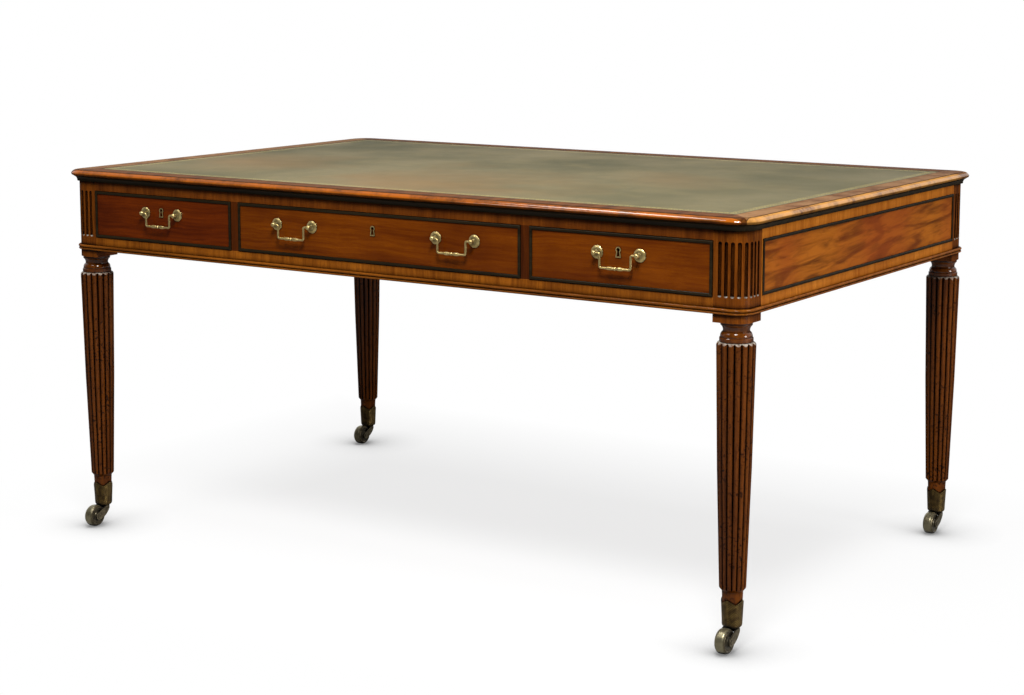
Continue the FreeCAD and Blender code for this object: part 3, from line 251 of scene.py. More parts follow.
class GrainGroup(SharedGroup):
    """Wood grain that runs along X."""

    def __init__(self) -> None:
        """Makes the group."""
        super().__init__("wood_grain", ("Ribbon", "Streak", "Fibre", "Pore"))

    def masks(self, tree: Tree, place: Socket) -> dict[str | int, Source]:
        """Makes broad ribbons, narrow streaks, fine fibres and open pores.

        Args:
            tree: the group's tree.
            place: the place, with the grain along X.

        Returns:
            A socket for each output's name.
        """
        wander = tree.add("ShaderNodeTexNoise", {"Vector": place, "Scale": 5.0, "Detail": 2.0})
        shift = tree.add("ShaderNodeVectorMath", {0: wander.outputs["Color"], 1: (0.0, 0.03, 0.03)},
                         operation="MULTIPLY")
        bent = tree.add("ShaderNodeVectorMath", {0: place, 1: shift.outputs["Vector"]}, operation="ADD")
        bent = bent.outputs["Vector"]
        ribbon = tree.noise(tree.stretch(bent, 2.5, 45.0), 1.0, 2.0, 0.5)
        streak = tree.noise(tree.stretch(bent, 5.0, 210.0), 1.0, 3.0, 0.6)
        fibre = tree.noise(tree.stretch(bent, 35.0, 1500.0), 1.0, 2.0, 0.6)
        pore = tree.noise(tree.stretch(place, 110.0, 2400.0), 1.0, 1.0, 0.5)
        return {
            "Ribbon": tree.span(ribbon, 0.3, 0.7),
            "Streak": tree.span(streak, 0.3, 0.7),
            "Fibre": tree.span(fibre, 0.3, 0.7),
            "Pore": tree.span(pore, 0.6, 0.7),
        }


class WearGroup(SharedGroup):
    """What years of use do to any surface, with hollows that also carry painted shade on wood."""

    def __init__(self) -> None:
        """Makes the group."""
        super().__init__("wear", ("Edge", "Hollow", "Patch", "Hairline"))

    def masks(self, tree: Tree, place: Socket) -> dict[str | int, Source]:
        """Makes rubbed edges, hollows for grime and for painted shade on wood, uneven patches and hairline
        scratches.

        Args:
            tree: the group's tree.
            place: the place on the piece.

        Returns:
            A socket for each output's name.
        """
        inside = tree.add("ShaderNodeAmbientOcclusion", {"Distance": 1.6 * MM}, samples=6, inside=True,
                          only_local=True)
        outside = tree.add("ShaderNodeAmbientOcclusion", {"Distance": 9 * MM}, samples=6)
        rubbing = tree.span(tree.noise(place, 60.0, 3.0, 0.6), 0.38, 0.6)
        edge = tree.calc("MULTIPLY", tree.span(inside.outputs["AO"], 0.8, 0.35), rubbing)
        patch = tree.span(tree.noise(place, 6.0, 4.0, 0.6), 0.35, 0.65)
        contour = tree.noise(place, 38.0, 1.0, 0.4)
        hairline = tree.calc("MULTIPLY", tree.band(contour, 0.5, 0.004), tree.span(patch, 0.4, 0.9))
        return {
            "Edge": edge,
            # Hollow: occlusion within 9 mm; on wood it darkens as grime and as painted shade.
            "Hollow": tree.span(outside.outputs["AO"], 0.97, 0.6),
            "Patch": patch,
            "Hairline": hairline,
        }


class TarnishGroup(SharedGroup):
    """How brass has dulled."""

    def __init__(self) -> None:
        """Makes the group."""
        super().__init__("tarnish", ("Cloud", "Speck", "Brush"))

    def masks(self, tree: Tree, place: Socket) -> dict[str | int, Source]:
        """Makes dull clouds, dark specks and fine rub marks.

        Args:
            tree: the group's tree.
            place: the place on the piece.

        Returns:
            A socket for each output's name.
        """
        return {
            "Cloud": tree.span(tree.noise(place, 120.0, 4.0, 0.6), 0.36, 0.64),
            "Speck": tree.span(tree.noise(place, 900.0, 2.0, 0.5), 0.62, 0.72),
            "Brush": tree.span(tree.noise(tree.stretch(place, 250.0, 2500.0), 1.0, 2.0, 0.5), 0.3, 0.7),
        }


class Groups:
    """The shared groups, made once."""

    def __init__(self) -> None:
        """Makes each group."""
        self.grain = GrainGroup()
        self.wear = WearGroup()
        self.tarnish = TarnishGroup()


# Finishes


@dataclass(frozen=True)
class Finish:
    """A surface finish that becomes one material."""

    name: str

    def material(self, groups: Groups) -> bpy.types.Material:
        """Makes the material.

        Args:
            groups: the shared groups.

        Returns:
            The finished material.
        """
        made = bpy.data.materials.new(self.name)
        made.use_nodes = True
        made.node_tree.nodes.clear()
        tree = Tree(made.node_tree)
        shader = self.shade(tree, groups)
        tree.add("ShaderNodeOutputMaterial", {"Surface": shader.outputs[0]})
        return made

    def shade(self, tree: Tree, groups: Groups) -> bpy.types.Node:
        """Builds the finish's shader.

        Args:
            tree: the material's tree.
            groups: the shared groups.

        Returns:
            The shader node.
        """
        raise NotImplementedError


@dataclass(frozen=True)
class PolishedWood(Finish):
    """Wood with grain, under polish that has worn at its edges, darker in its hollows from grime and
    painted shade.
    """

    dark: Colour
    middle: Colour
    light: Colour
    grain: Grain = Grain.ALONG_X
    tilt: float = 0.0
    contrast: float = 1.0
    roughness: float = 0.34
    coat: float = 0.4
    grime_and_shade: float = 0.8
    edge_rub_and_highlight: float = 0.4
    clouds: float = 0.0
    grime_and_shade_darkness: float = 0.12
    coat_roughness: float = 0.1
    grain_relief: float = 0.08 * MM

    def grain_place(self, tree: Tree, place: Socket) -> Socket:
        """Turns a place so that the grain runs along X.

        Args:
            tree: the material's tree.
            place: the place on the piece.

        Returns:
            The turned place.
        """
        turned = tree.turn(place, self.grain.value)
        if self.tilt:
            turned = tree.turn(turned, (0.0, self.tilt, 0.0))
        return turned

    def wood_colour(self, tree: Tree, marks: dict[str, Socket]) -> Socket:
        """Colours the bare wood from its grain.

        Args:
            tree: the material's tree.
            marks: the outputs of the grain group.

        Returns:
            The colour.
        """
        broad = tree.mix(marks["Ribbon"], self.dark, self.light)
        wood = tree.mix(1.0 - 0.5 * self.contrast, broad, self.middle)
        narrow = tree.mix(marks["Streak"], self.dark, self.light)
        wood = tree.mix(0.35 * self.contrast, wood, narrow)
        fibre = tree.span(marks["Fibre"], 0.0, 1.0, 0.0, 0.3 * self.contrast)
        wood = tree.mix(fibre, wood, self.dark)
        if self.clouds:
            cloud = tree.noise(tree.stretch(tree.place(), 4.0, 9.0), 1.0, 3.0, 0.6)
            wood = tree.mix(tree.span(cloud, 0.45, 0.7, 0.0, self.clouds), wood, self.dark)
        return tree.mix(tree.calc("MULTIPLY", marks["Pore"], 0.4), wood, self.dark)

    def wax_and_highlight(self, tree: Tree, place: Socket, colour: Socket) -> Socket:
        """Lays pale wax and painted highlight over the wood's colour, which is nothing on a plain piece."""
        return colour

    def polish(self, tree: Tree, place: Socket, hollow: Socket) -> Source:
        """Says how much polish lies on the wood, which is dull in its hollows."""
        return tree.span(hollow, 0.0, 1.0, self.coat, 0.1 * self.coat)

    def shade(self, tree: Tree, groups: Groups) -> bpy.types.Node:
        """Builds the finish's shader.

        Args:
            tree: the material's tree.
            groups: the shared groups.

        Returns:
            The shader node.
        """
        place = tree.place()
        marks = groups.grain.use(tree, self.grain_place(tree, place))
        wear = groups.wear.use(tree, place)
        colour = self.wood_colour(tree, marks)
        # Edges lighten: worn edges, and on the legs' reed crests partly a painted highlight.
        colour = tree.mix(tree.calc("MULTIPLY", wear["Edge"], self.edge_rub_and_highlight), colour, self.light)
        # Hollows darken to near black: partly grime, partly painted shade in recesses and under overhangs.
        grime_and_shade_black = tuple(part * self.grime_and_shade_darkness for part in self.dark[:3]) + (1.0,)
        colour = tree.mix(tree.calc("MULTIPLY", wear["Hollow"], self.grime_and_shade), colour, grime_and_shade_black)
        colour = self.wax_and_highlight(tree, place, colour)
        rough = tree.calc("ADD", tree.span(wear["Patch"], 0.0, 1.0, -0.05, 0.08), self.roughness)
        rough = tree.calc("ADD", rough, tree.calc("MULTIPLY", wear["Hairline"], 0.2))
        height = tree.calc("SUBTRACT", tree.calc("MULTIPLY", marks["Fibre"], 0.5), marks["Pore"])
        return tree.add("ShaderNodeBsdfPrincipled", {
            "Base Color": colour,
            "Roughness": rough,
            "Coat Weight": self.polish(tree, place, wear["Hollow"]),
            "Coat Roughness": self.coat_roughness,
            "Specular IOR Level": 0.0,
            "Normal": tree.bump(height, self.grain_relief, 0.35),
        })


@dataclass(frozen=True)
class LegWood(PolishedWood):
    """Leg wood: flecked down its shaft, glossy round its neck, with pale wax and painted highlights in its
    carving.
    """

    flecks: float = 0.85
    shaft_top: float = 545.5 * MM
    neck_top: float = 580 * MM
    neck_shade: float = 0.3
    neck_coat: float = 0.75
    shaft_shade: float = 0.25
    wax_highlight_colour: Colour = srgb(178, 168, 154)
    reed_round: float = 6 * MM
    stop_low: float = 623 * MM
    stop_high: float = 627 * MM

    def neck(self, tree: Tree, place: Socket) -> Socket:
        """Finds the turned neck between the shaft and the post.

        Args:
            tree: the material's tree.
            place: the place on the piece.

        Returns:
            1 on the neck and 0 elsewhere.
        """
        middle = (self.shaft_top + self.neck_top) / 2
        from_middle = tree.calc("ABSOLUTE", tree.calc("SUBTRACT", tree.axes(place)[2], middle))
        return tree.calc("LESS_THAN", from_middle, self.neck_top - middle)

    def polish(self, tree: Tree, place: Socket, hollow: Socket) -> Source:
        """Lays more polish on the neck, however dark its hollows."""
        neck = tree.calc("MULTIPLY", self.neck(tree, place), self.neck_coat)
        return tree.calc("MAXIMUM", neck, super().polish(tree, place, hollow))

    def wood_colour(self, tree: Tree, marks: dict[str, Socket]) -> Socket:
        """Colours the wood from its grain and its flecks.

        Args:
            tree: the material's tree.
            marks: the outputs of the grain group.

        Returns:
            The colour.
        """
        place = tree.place()
        shaft = tree.calc("LESS_THAN", tree.axes(place)[2], self.shaft_top)
        shade = tree.calc("MAXIMUM", tree.calc("MULTIPLY", shaft, self.shaft_shade),
                          tree.calc("MULTIPLY", self.neck(tree, place), self.neck_shade))
        colour = tree.mix(shade, super().wood_colour(tree, marks), self.dark)
        small = tree.span(tree.noise(place, 190.0, 2.0), 0.55, 0.64)
        where = tree.span(tree.noise(place, 24.0, 2.0), 0.4, 0.58, 0.0, self.flecks)
        fleck = tree.calc("MULTIPLY", shaft, tree.calc("MULTIPLY", small, where))
        return tree.mix(fleck, colour, self.dark)

    def wax_and_highlight(self, tree: Tree, place: Socket, colour: Socket) -> Socket:
        """Lays a pale colour where the carving faces up, on the reeds' round tops and in the flutes' stops:
        partly old wax, partly a painted highlight.

        Args:
            tree: the material's tree.
            place: the place on the piece.
            colour: the wood's colour with its grime and painted shade.

        Returns:
            The colour that shows.
        """
        # Pale colour on upward faces: partly old wax, partly a painted highlight.
        upward = tree.span(tree.facing()[2], 0.15, 0.45)
        height = tree.axes(place)[2]
        tops = tree.band(height, self.shaft_top, self.reed_round)
        stops = tree.band(height, (self.stop_low + self.stop_high) / 2, self.stop_high - self.stop_low)
        wax_and_highlight_share = tree.calc("MULTIPLY", upward, tree.calc("MAXIMUM", tops, stops))
        patchy = tree.span(tree.noise(place, 140.0, 2.0), 0.35, 0.6, 0.2, 0.8)
        return tree.mix(tree.calc("MULTIPLY", wax_and_highlight_share, patchy), colour, self.wax_highlight_colour)


@dataclass(frozen=True)
class Crossbanding(PolishedWood):
    """Veneer laid in short lengths across a straight rail, each length a little different."""

    length: float = 0.19
    run: int = 0

    def wood_colour(self, tree: Tree, marks: dict[str, Socket]) -> Socket:
        """Colours the veneer from its grain and its lengths.

        Args:
            tree: the material's tree.
            marks: the outputs of the grain group.

        Returns:
            The colour.
        """
        colour = super().wood_colour(tree, marks)
        along = tree.axes(tree.place())[self.run]
        which = tree.calc("FLOOR", tree.calc("DIVIDE", along, self.length))
        chance = tree.add("ShaderNodeTexWhiteNoise", {"W": which}, noise_dimensions="1D").outputs["Value"]
        return tree.mix(tree.span(chance, 0.0, 1.0, 0.0, 0.35), colour, self.dark)


@dataclass(frozen=True)
class MitredBorder(PolishedWood):
    """The top's border: crossbanded on its flat, with long grain and more gloss on its moulded edge."""

    half_length: float = 785 * MM
    half_depth: float = 495 * MM
    flat_edge: float = 2 * MM
    bright_edge: float = 9 * MM
    hide_edge: float = -39 * MM
    line_half_width: float = 1.2 * MM
    edge: Colour = srgb(172, 90, 18)
    # The ends' edge and flat are paler: partly paler wood, partly painted light and sheen.
    end_edge: Colour = srgb(202, 140, 60)
    end_flat: Colour = srgb(146, 106, 66)
    painted_under_shade: float = 0.6
    edge_coat: float = 1.0

    def past(self, tree: Tree, place: Socket) -> tuple[Socket, Socket]:
        """Measures how far a point lies past the end and the front of the frieze.

        Args:
            tree: the material's tree.
            place: the place on the piece.

        Returns:
            How far it lies past the nearer end, and past the nearer long side.
        """
        x, y, _ = tree.axes(place)
        past_end = tree.calc("SUBTRACT", tree.calc("ABSOLUTE", x), self.half_length)
        past_front = tree.calc("SUBTRACT", tree.calc("ABSOLUTE", y), self.half_depth)
        return past_end, past_front

    def parts(self, tree: Tree, place: Socket) -> tuple[Socket, Socket]:
        """Finds the lengths at the two ends, and the bright part of the moulded edge all round.

        Args:
            tree: the material's tree.
            place: the place on the piece.

        Returns:
            1 on the lengths at the ends, and 1 on the bright part of the edge.
        """
        past_end, past_front = self.past(tree, place)
        end = tree.calc("GREATER_THAN", past_end, past_front)
        start = tree.span(end, 0.0, 1.0, self.bright_edge, self.flat_edge)
        nose = tree.calc("GREATER_THAN", tree.calc("MAXIMUM", past_end, past_front), start)
        return end, nose

    def grain_place(self, tree: Tree, place: Socket) -> Socket:
        """Turns the grain for each of the four mitred lengths and for the moulded edge.

        Args:
            tree: the material's tree.
            place: the place on the piece.

        Returns:
            The turned place.
        """
        end, nose = self.parts(tree, place)
        along_x = tree.calc("ABSOLUTE", tree.calc("SUBTRACT", end, nose))
        across = tree.turn(place, Grain.ALONG_Y.value)
        return tree.mix_places(along_x, across, place)

    def wood_colour(self, tree: Tree, marks: dict[str, Socket]) -> Socket:
        """Colours the border: a warm edge with painted shade below, paler ends that are partly painted
        light, and a dark line by the flat.

        Args:
            tree: the material's tree.
            marks: the outputs of the grain group.

        Returns:
            The colour.
        """
        place = tree.place()
        end, nose = self.parts(tree, place)
        rubbed = tree.span(tree.noise(place, 14.0, 5.0, 0.75), 0.38, 0.58, 0.1, 0.95)
        # Paler ends, on the flat and the edge: partly paler wood, partly painted light and sheen.
        flat = tree.mix(tree.calc("MULTIPLY", end, rubbed), super().wood_colour(tree, marks), self.end_flat)
        edge = tree.mix(end, self.edge, self.end_edge)
        colour = tree.mix(tree.calc("MULTIPLY", nose, rubbed), flat, edge)
        past = tree.calc("MAXIMUM", *self.past(tree, place))
        lines = tree.calc("MAXIMUM", tree.band(past, self.flat_edge, self.line_half_width),
                          tree.band(past, self.hide_edge, self.line_half_width))
        colour = tree.mix(tree.calc("MULTIPLY", lines, 0.8), colour, self.dark)
        # Painted shade: the edge's faces that turn downward are darkened.
        under = tree.span(tree.facing()[2], 0.35, -0.3, 0.0, self.painted_under_shade)
        return tree.mix(under, colour, self.dark)

    def polish(self, tree: Tree, place: Socket, hollow: Socket) -> Source:
        """Says how much polish lies on the border.

        Args:
            tree: the material's tree.
            place: the place on the piece.
            hollow: not used.

        Returns:
            The weight of the polish.
        """
        _, nose = self.parts(tree, place)
        rise = tree.facing()[2]
        crest = tree.calc("MULTIPLY", tree.span(rise, 0.92, 0.8), tree.span(rise, 0.35, 0.5))
        return tree.span(tree.calc("MULTIPLY", nose, crest), 0.0, 1.0, self.coat, self.edge_coat)


@dataclass(frozen=True)
class FlamePanel(PolishedWood):
    """Figured veneer whose grain swirls in long flames."""

    flame: float = 0.65
    red: Colour = srgb(146, 64, 20)

    def wood_colour(self, tree: Tree, marks: dict[str, Socket]) -> Socket:
        """Colours the veneer from its figure.

        Args:
            tree: the material's tree.
            marks: the outputs of the grain group.

        Returns:
            The colour.
        """
        colour = super().wood_colour(tree, marks)
        place = self.grain_place(tree, tree.place())
        swirl = tree.add("ShaderNodeTexNoise", {
            "Vector": tree.stretch(place, 4.6, 30.0), "Scale": 1.0, "Detail": 3.0, "Distortion": 1.4,
        }).outputs["Fac"]
        lick = tree.add("ShaderNodeTexNoise", {
            "Vector": tree.stretch(place, 12.0, 90.0), "Scale": 1.0, "Detail": 4.0, "Distortion": 0.9,
        }).outputs["Fac"]
        colour = tree.mix(tree.span(swirl, 0.56, 0.4, 0.0, self.flame), colour, self.light)
        colour = tree.mix(tree.span(swirl, 0.52, 0.64, 0.0, self.flame), colour, self.dark)
        colour = tree.mix(tree.span(tree.noise(place, 4.0, 2.0), 0.45, 0.65, 0.0, 0.6), colour, self.red)
        return tree.mix(tree.span(lick, 0.5, 0.64, 0.0, 0.5 * self.flame), colour, self.dark)


@dataclass(frozen=True)
class PlainTimber(Finish):
    """Bare wood that has only been planed."""

    dark: Colour
    light: Colour
    grain: Grain = Grain.ALONG_X

    def shade(self, tree: Tree, groups: Groups) -> bpy.types.Node:
        """Builds the finish's shader.

        Args:
            tree: the material's tree.
            groups: the shared groups.

        Returns:
            The shader node.
        """
        place = tree.place()
        marks = groups.grain.use(tree, tree.turn(place, self.grain.value))
        wear = groups.wear.use(tree, place)
        streak = tree.calc("ADD", tree.calc("MULTIPLY", marks["Streak"], 0.6),
                           tree.calc("MULTIPLY", marks["Fibre"], 0.4))
        colour = tree.mix(streak, self.light, self.dark)
        colour = tree.mix(tree.calc("MULTIPLY", wear["Hollow"], 0.6), colour, self.dark)
        return tree.add("ShaderNodeBsdfPrincipled", {
            "Base Color": colour,
            "Roughness": tree.span(wear["Patch"], 0.0, 1.0, 0.6, 0.75),
            "Normal": tree.bump(marks["Fibre"], 0.1 * MM, 0.5),
        })


@dataclass(frozen=True)
class Leather(Finish):
    """Old green hide with a gilt tooled line near its edge."""

    half_length: float
    half_depth: float
    shade_green: Colour = srgb(92, 88, 60)
    worn_green: Colour = srgb(126, 113, 74)
    tan: Colour = srgb(140, 108, 65)
    gilt: Colour = srgb(206, 182, 92)
    sitting_x: float = -0.03
    sitting_y: float = -0.3
    sitting_reach: float = 0.34
    painted_shade_from: float = 0.4
    line_inset: float = 13 * MM
    line_gap: float = 7 * MM
    line_half_width: float = 0.9 * MM
    chain_pitch: float = 11 * MM
    chain_half_width: float = 4.6 * MM

    def sitting(self, tree: Tree, place: Socket) -> Socket:
        """Marks where a sitter's arms have rubbed the hide to a warm tan.

        Args:
            tree: the material's tree.
            place: the place on the hide.

        Returns:
            The share of tan.
        """
        x, y, _ = tree.axes(place)
        aside = tree.calc("SUBTRACT", x, self.sitting_x)
        ahead = tree.calc("SUBTRACT", y, self.sitting_y)
        away = tree.calc("SQRT", tree.calc("ADD", tree.calc("MULTIPLY", aside, aside),
                                           tree.calc("MULTIPLY", ahead, ahead)))
        uneven = tree.span(tree.noise(place, 5.0, 3.0), 0.3, 0.7, -0.15, 0.15)
        return tree.span(tree.calc("ADD", away, uneven), 0.0, self.sitting_reach, 0.6, 0.0)

    def tooling(self, tree: Tree, place: Socket, worn: Socket) -> Socket:
        """Marks the gilt: two fine lines with a chain of lozenges between them.

        Args:
            tree: the material's tree.
            place: the place on the hide.
            worn: where the gilt has rubbed away.

        Returns:
            The share of gilt.
        """
        x, y, _ = tree.axes(place)
        from_side = tree.calc("SUBTRACT", self.half_length, tree.calc("ABSOLUTE", x))
        from_front = tree.calc("SUBTRACT", self.half_depth, tree.calc("ABSOLUTE", y))
        inset = tree.calc("MINIMUM", from_side, from_front)
        lines = tree.calc("MAXIMUM",
                          tree.band(inset, self.line_inset - self.line_gap, self.line_half_width),
                          tree.band(inset, self.line_inset + self.line_gap, self.line_half_width))
        side = tree.calc("LESS_THAN", from_side, from_front)
        run = tree.calc("ADD", tree.calc("MULTIPLY", side, y),
                        tree.calc("MULTIPLY", tree.calc("SUBTRACT", 1.0, side), x))
        step = tree.calc("FRACT", tree.calc("DIVIDE", run, self.chain_pitch))
        along = tree.calc("MULTIPLY", tree.calc("ABSOLUTE", tree.calc("SUBTRACT", step, 0.5)), 2.0)
        aside = tree.calc("DIVIDE", tree.calc("ABSOLUTE", tree.calc("SUBTRACT", inset, self.line_inset)),
                          self.chain_half_width)
        lozenge = tree.band(tree.calc("ADD", along, aside), 0.7, 0.32)
        return tree.calc("MULTIPLY", tree.calc("MAXIMUM", lines, lozenge), worn)

    def shade(self, tree: Tree, groups: Groups) -> bpy.types.Node:
        """Builds the finish's shader.

        Args:
            tree: the material's tree.
            groups: the shared groups.

        Returns:
            The shader node.
        """
        place = tree.place()
        wear = groups.wear.use(tree, place)
        cloud = tree.span(tree.noise(place, 2.6, 3.0, 0.55), 0.35, 0.65)
        mottle = tree.span(tree.noise(place, 38.0, 4.0, 0.65), 0.3, 0.7)
        colour = tree.mix(cloud, self.shade_green, self.worn_green)
        colour = tree.mix(tree.span(mottle, 0.0, 1.0, 0.0, 0.42), colour, self.shade_green)
        rubbed = tree.span(tree.noise(place, 11.0, 5.0, 0.6), 0.5, 0.68, 0.0, 0.45)
        colour = tree.mix(rubbed, colour, self.worn_green)
        warm = tree.span(tree.noise(place, 1.7, 2.0, 0.5), 0.52, 0.7, 0.0, 0.55)
        colour = tree.mix(tree.calc("MAXIMUM", warm, self.sitting(tree, place)), colour, self.tan)
        # Painted shade: the hide darkens towards its +X end.
        painted_shade = tree.span(tree.axes(place)[0], self.painted_shade_from, self.half_length, 0.0, 0.4)
        colour = tree.mix(painted_shade, colour, self.shade_green)
        colour = tree.mix(tree.calc("MULTIPLY", wear["Hairline"], 0.35), colour, self.worn_green)
        gilt = self.tooling(tree, place, tree.span(mottle, 0.1, 0.6, 0.1, 0.65))
        colour = tree.mix(gilt, colour, self.gilt)
        cells = tree.add("ShaderNodeTexVoronoi", {"Vector": place, "Scale": 420.0},
                         feature="DISTANCE_TO_EDGE").outputs["Distance"]
        grain = tree.calc("SUBTRACT", tree.span(cells, 0.0, 0.25), tree.calc("MULTIPLY", gilt, 0.8))
        rough = tree.calc("SUBTRACT", tree.span(cloud, 0.0, 1.0, 0.6, 0.5),
                          tree.calc("MULTIPLY", gilt, 0.15))
        return tree.add("ShaderNodeBsdfPrincipled", {
            "Base Color": colour,
            "Roughness": rough,
            "Metallic": tree.calc("MULTIPLY", gilt, 0.3),
            "Specular IOR Level": 0.06,
            "Normal": tree.bump(grain, 0.15 * MM, 0.4),
        })


@dataclass(frozen=True)
class Brass(Finish):
    """Brass that is bright where it is rubbed and brown where it isn't."""

    bright: Colour
    dull: Colour
    dirt: Colour
    roughness: float
    age: float
    relief_depth: float = 0.03 * MM

    def shade(self, tree: Tree, groups: Groups) -> bpy.types.Node:
        """Builds the finish's shader.

        Args:
            tree: the material's tree.
            groups: the shared groups.

        Returns:
            The shader node.
        """
        place = tree.place()
        marks = groups.tarnish.use(tree, place)
        wear = groups.wear.use(tree, place)
        dulling = tree.span(marks["Cloud"], 0.0, 1.0, 0.3 * self.age, self.age)
        colour = tree.mix(dulling, self.bright, self.dull)
        colour = tree.mix(tree.calc("MULTIPLY", marks["Speck"], 0.6 * self.age), colour, self.dirt)
        colour = self.metal_colour(tree, tree.mix(wear["Edge"], colour, self.bright))
        colour = tree.mix(wear["Hollow"], colour, self.dirt)
        rough = tree.calc("ADD", tree.span(marks["Cloud"], 0.0, 1.0, 0.0, 0.18 * self.age), self.roughness)
        return tree.add("ShaderNodeBsdfPrincipled", {
            "Base Color": colour,
            "Metallic": tree.span(wear["Hollow"], 0.0, 1.0, 0.85, 0.35),
            "Roughness": rough,
            "Normal": tree.bump(self.relief(tree, place, marks), self.relief_depth, 0.4),
        })

    def metal_colour(self, tree: Tree, colour: Socket) -> Socket:
        """Changes the brass's colour before dirt goes over it, but not on a plain piece."""
        return colour

    def relief(self, tree: Tree, place: Socket, marks: dict[str, Socket]) -> Socket:
        """Makes the heights of the brass's surface, 0 to 1, from its rub marks."""
        return marks["Brush"]


@dataclass(frozen=True)
class WheelBrass(Brass):
    """A castor wheel that the floor has polished on its tread."""

    tread: Colour = srgb(148, 140, 112)

    def metal_colour(self, tree: Tree, colour: Socket) -> Socket:
        """Brightens the tread, whose surface faces across the axle."""
        sideways = tree.calc("ABSOLUTE", tree.facing()[0])
        return tree.mix(tree.span(sideways, 0.75, 0.35, 0.0, 0.85), colour, self.tread)


@dataclass(frozen=True)
class LeafBrass(Brass):
    """A castor socket chased with four leaves, each with a midrib and slanting veins."""

    leg_x: float = 0.7545
    leg_y: float = 0.4645
    radius: float = 19.5 * MM
    vein_pitch: float = 4.2 * MM
    vein_slope: float = 0.9
    rib_half_width: float = 0.9 * MM

    def metal_colour(self, tree: Tree, colour: Socket) -> Socket:
        """Leaves dirt between the veins."""
        dirty = tree.span(self.relief(tree, tree.place(), {}), 0.7, 0.2, 0.0, 0.85)
        return tree.mix(dirty, colour, self.dirt)

    def relief(self, tree: Tree, place: Socket, marks: dict[str, Socket]) -> Socket:
        """Makes the heights of the chased leaves.

        Args:
            tree: the material's tree.
            place: the place on the piece.
            marks: not used.

        Returns:
            The height, 0 to 1.
        """
        x, y, z = tree.axes(place)
        across = tree.calc("SUBTRACT", tree.calc("ABSOLUTE", x), self.leg_x)
        deep = tree.calc("SUBTRACT", tree.calc("ABSOLUTE", y), self.leg_y)
        angle = tree.calc("ADD", tree.calc("ARCTAN2", deep, across), 2.25 * math.pi)
        fold = tree.calc("SUBTRACT", tree.calc("MODULO", angle, math.pi / 2), math.pi / 4)
        from_rib = tree.calc("MULTIPLY", tree.calc("ABSOLUTE", fold), self.radius)
        rise = tree.calc("SUBTRACT", z, tree.calc("MULTIPLY", from_rib, self.vein_slope))
        vein = tree.calc("SINE", tree.calc("MULTIPLY", rise, math.tau / self.vein_pitch))
        rib = tree.band(from_rib, 0.0, self.rib_half_width)
        return tree.calc("MAXIMUM", tree.span(vein, -1.0, 1.0), rib)


# Sub-assemblies


class Wardrobe:
    """Makes each finish's material once and puts it on the CAD's pieces."""

    def __init__(self, groups: Groups) -> None:
        """Keeps the shared groups, and starts with no materials."""
        self.groups = groups
        self.made: dict[str, bpy.types.Material] = {}

    def dress(self, node: str, finish: Finish) -> None:
        """Gives a CAD piece its finish.

        Args:
            node: the piece's name.
            finish: its finish.
        """
        if finish.name not in self.made:
            self.made[finish.name] = finish.material(self.groups)
        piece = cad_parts[node]
        piece.data.materials.clear()
        piece.data.materials.append(self.made[finish.name])
        log.info("%s wears %s", node, finish.name)


MAHOGANY_DARK = srgb(76, 26, 2)
MAHOGANY_MIDDLE = srgb(119, 54, 2)
MAHOGANY_LIGHT = srgb(150, 77, 6)
BAND_DARK = srgb(70, 28, 3)
BAND_MIDDLE = srgb(156, 84, 10)
BAND_LIGHT = srgb(202, 120, 32)
FLAME_DARK = srgb(72, 34, 6)
FLAME_MIDDLE = srgb(150, 80, 12)
FLAME_LIGHT = srgb(184, 104, 26)
FLAME_RISE = math.radians(4)

DRAWER_WOOD = PolishedWood("drawer_mahogany", MAHOGANY_DARK, MAHOGANY_MIDDLE, MAHOGANY_LIGHT, contrast=1.1,
                           grime_and_shade=0.4, clouds=0.7)
# Left drawer: a redder veneer, darker partly as painted shade for light that falls off to the left.
RED_SHADED_DRAWER_WOOD = PolishedWood("red_shaded_drawer_mahogany", srgb(58, 15, 2), srgb(103, 36, 2), srgb(134, 56, 4),
                               contrast=1.1, grime_and_shade=0.4, clouds=0.7)
DIVIDER_WOOD = PolishedWood("divider_mahogany", srgb(40, 12, 2), srgb(82, 34, 4), srgb(106, 50, 8),
                            grain=Grain.ALONG_Z, grime_and_shade=0.4)
# Leg wood: its strong hollow darkening turns the reed grooves near black, partly grime and partly painted
# shade; its strong edge rub brightens the reed crests, partly wear and partly painted highlight.
LEG_WOOD = LegWood("leg_mahogany", srgb(24, 8, 2), srgb(109, 50, 7), srgb(160, 87, 21), grain=Grain.ALONG_Z,
                   coat=0.3, grime_and_shade=1.4, edge_rub_and_highlight=0.8)
MOULDING_WOOD = PolishedWood("moulding_mahogany", srgb(54, 24, 4), srgb(126, 66, 10), srgb(180, 106, 32),
                             coat=0.2)
# Front rails: their strong hollow darkening is partly grime, partly painted shade next to the beads and
# mouldings.
FRONT_BANDING = Crossbanding("front_banding", BAND_DARK, BAND_MIDDLE, BAND_LIGHT, grain=Grain.ALONG_Z,
                             contrast=0.95, grime_and_shade=0.9)
# Front top rail: a darker copy of the front banding, painted shadow for the top's overhang; its strong
# hollow darkening is partly grime, partly painted shade.
SHADED_TOP_BANDING = Crossbanding("shaded_top_banding", srgb(52, 18, 3), srgb(122, 60, 8), srgb(160, 86, 24),
                           grain=Grain.ALONG_Z, contrast=0.95, grime_and_shade=0.9)
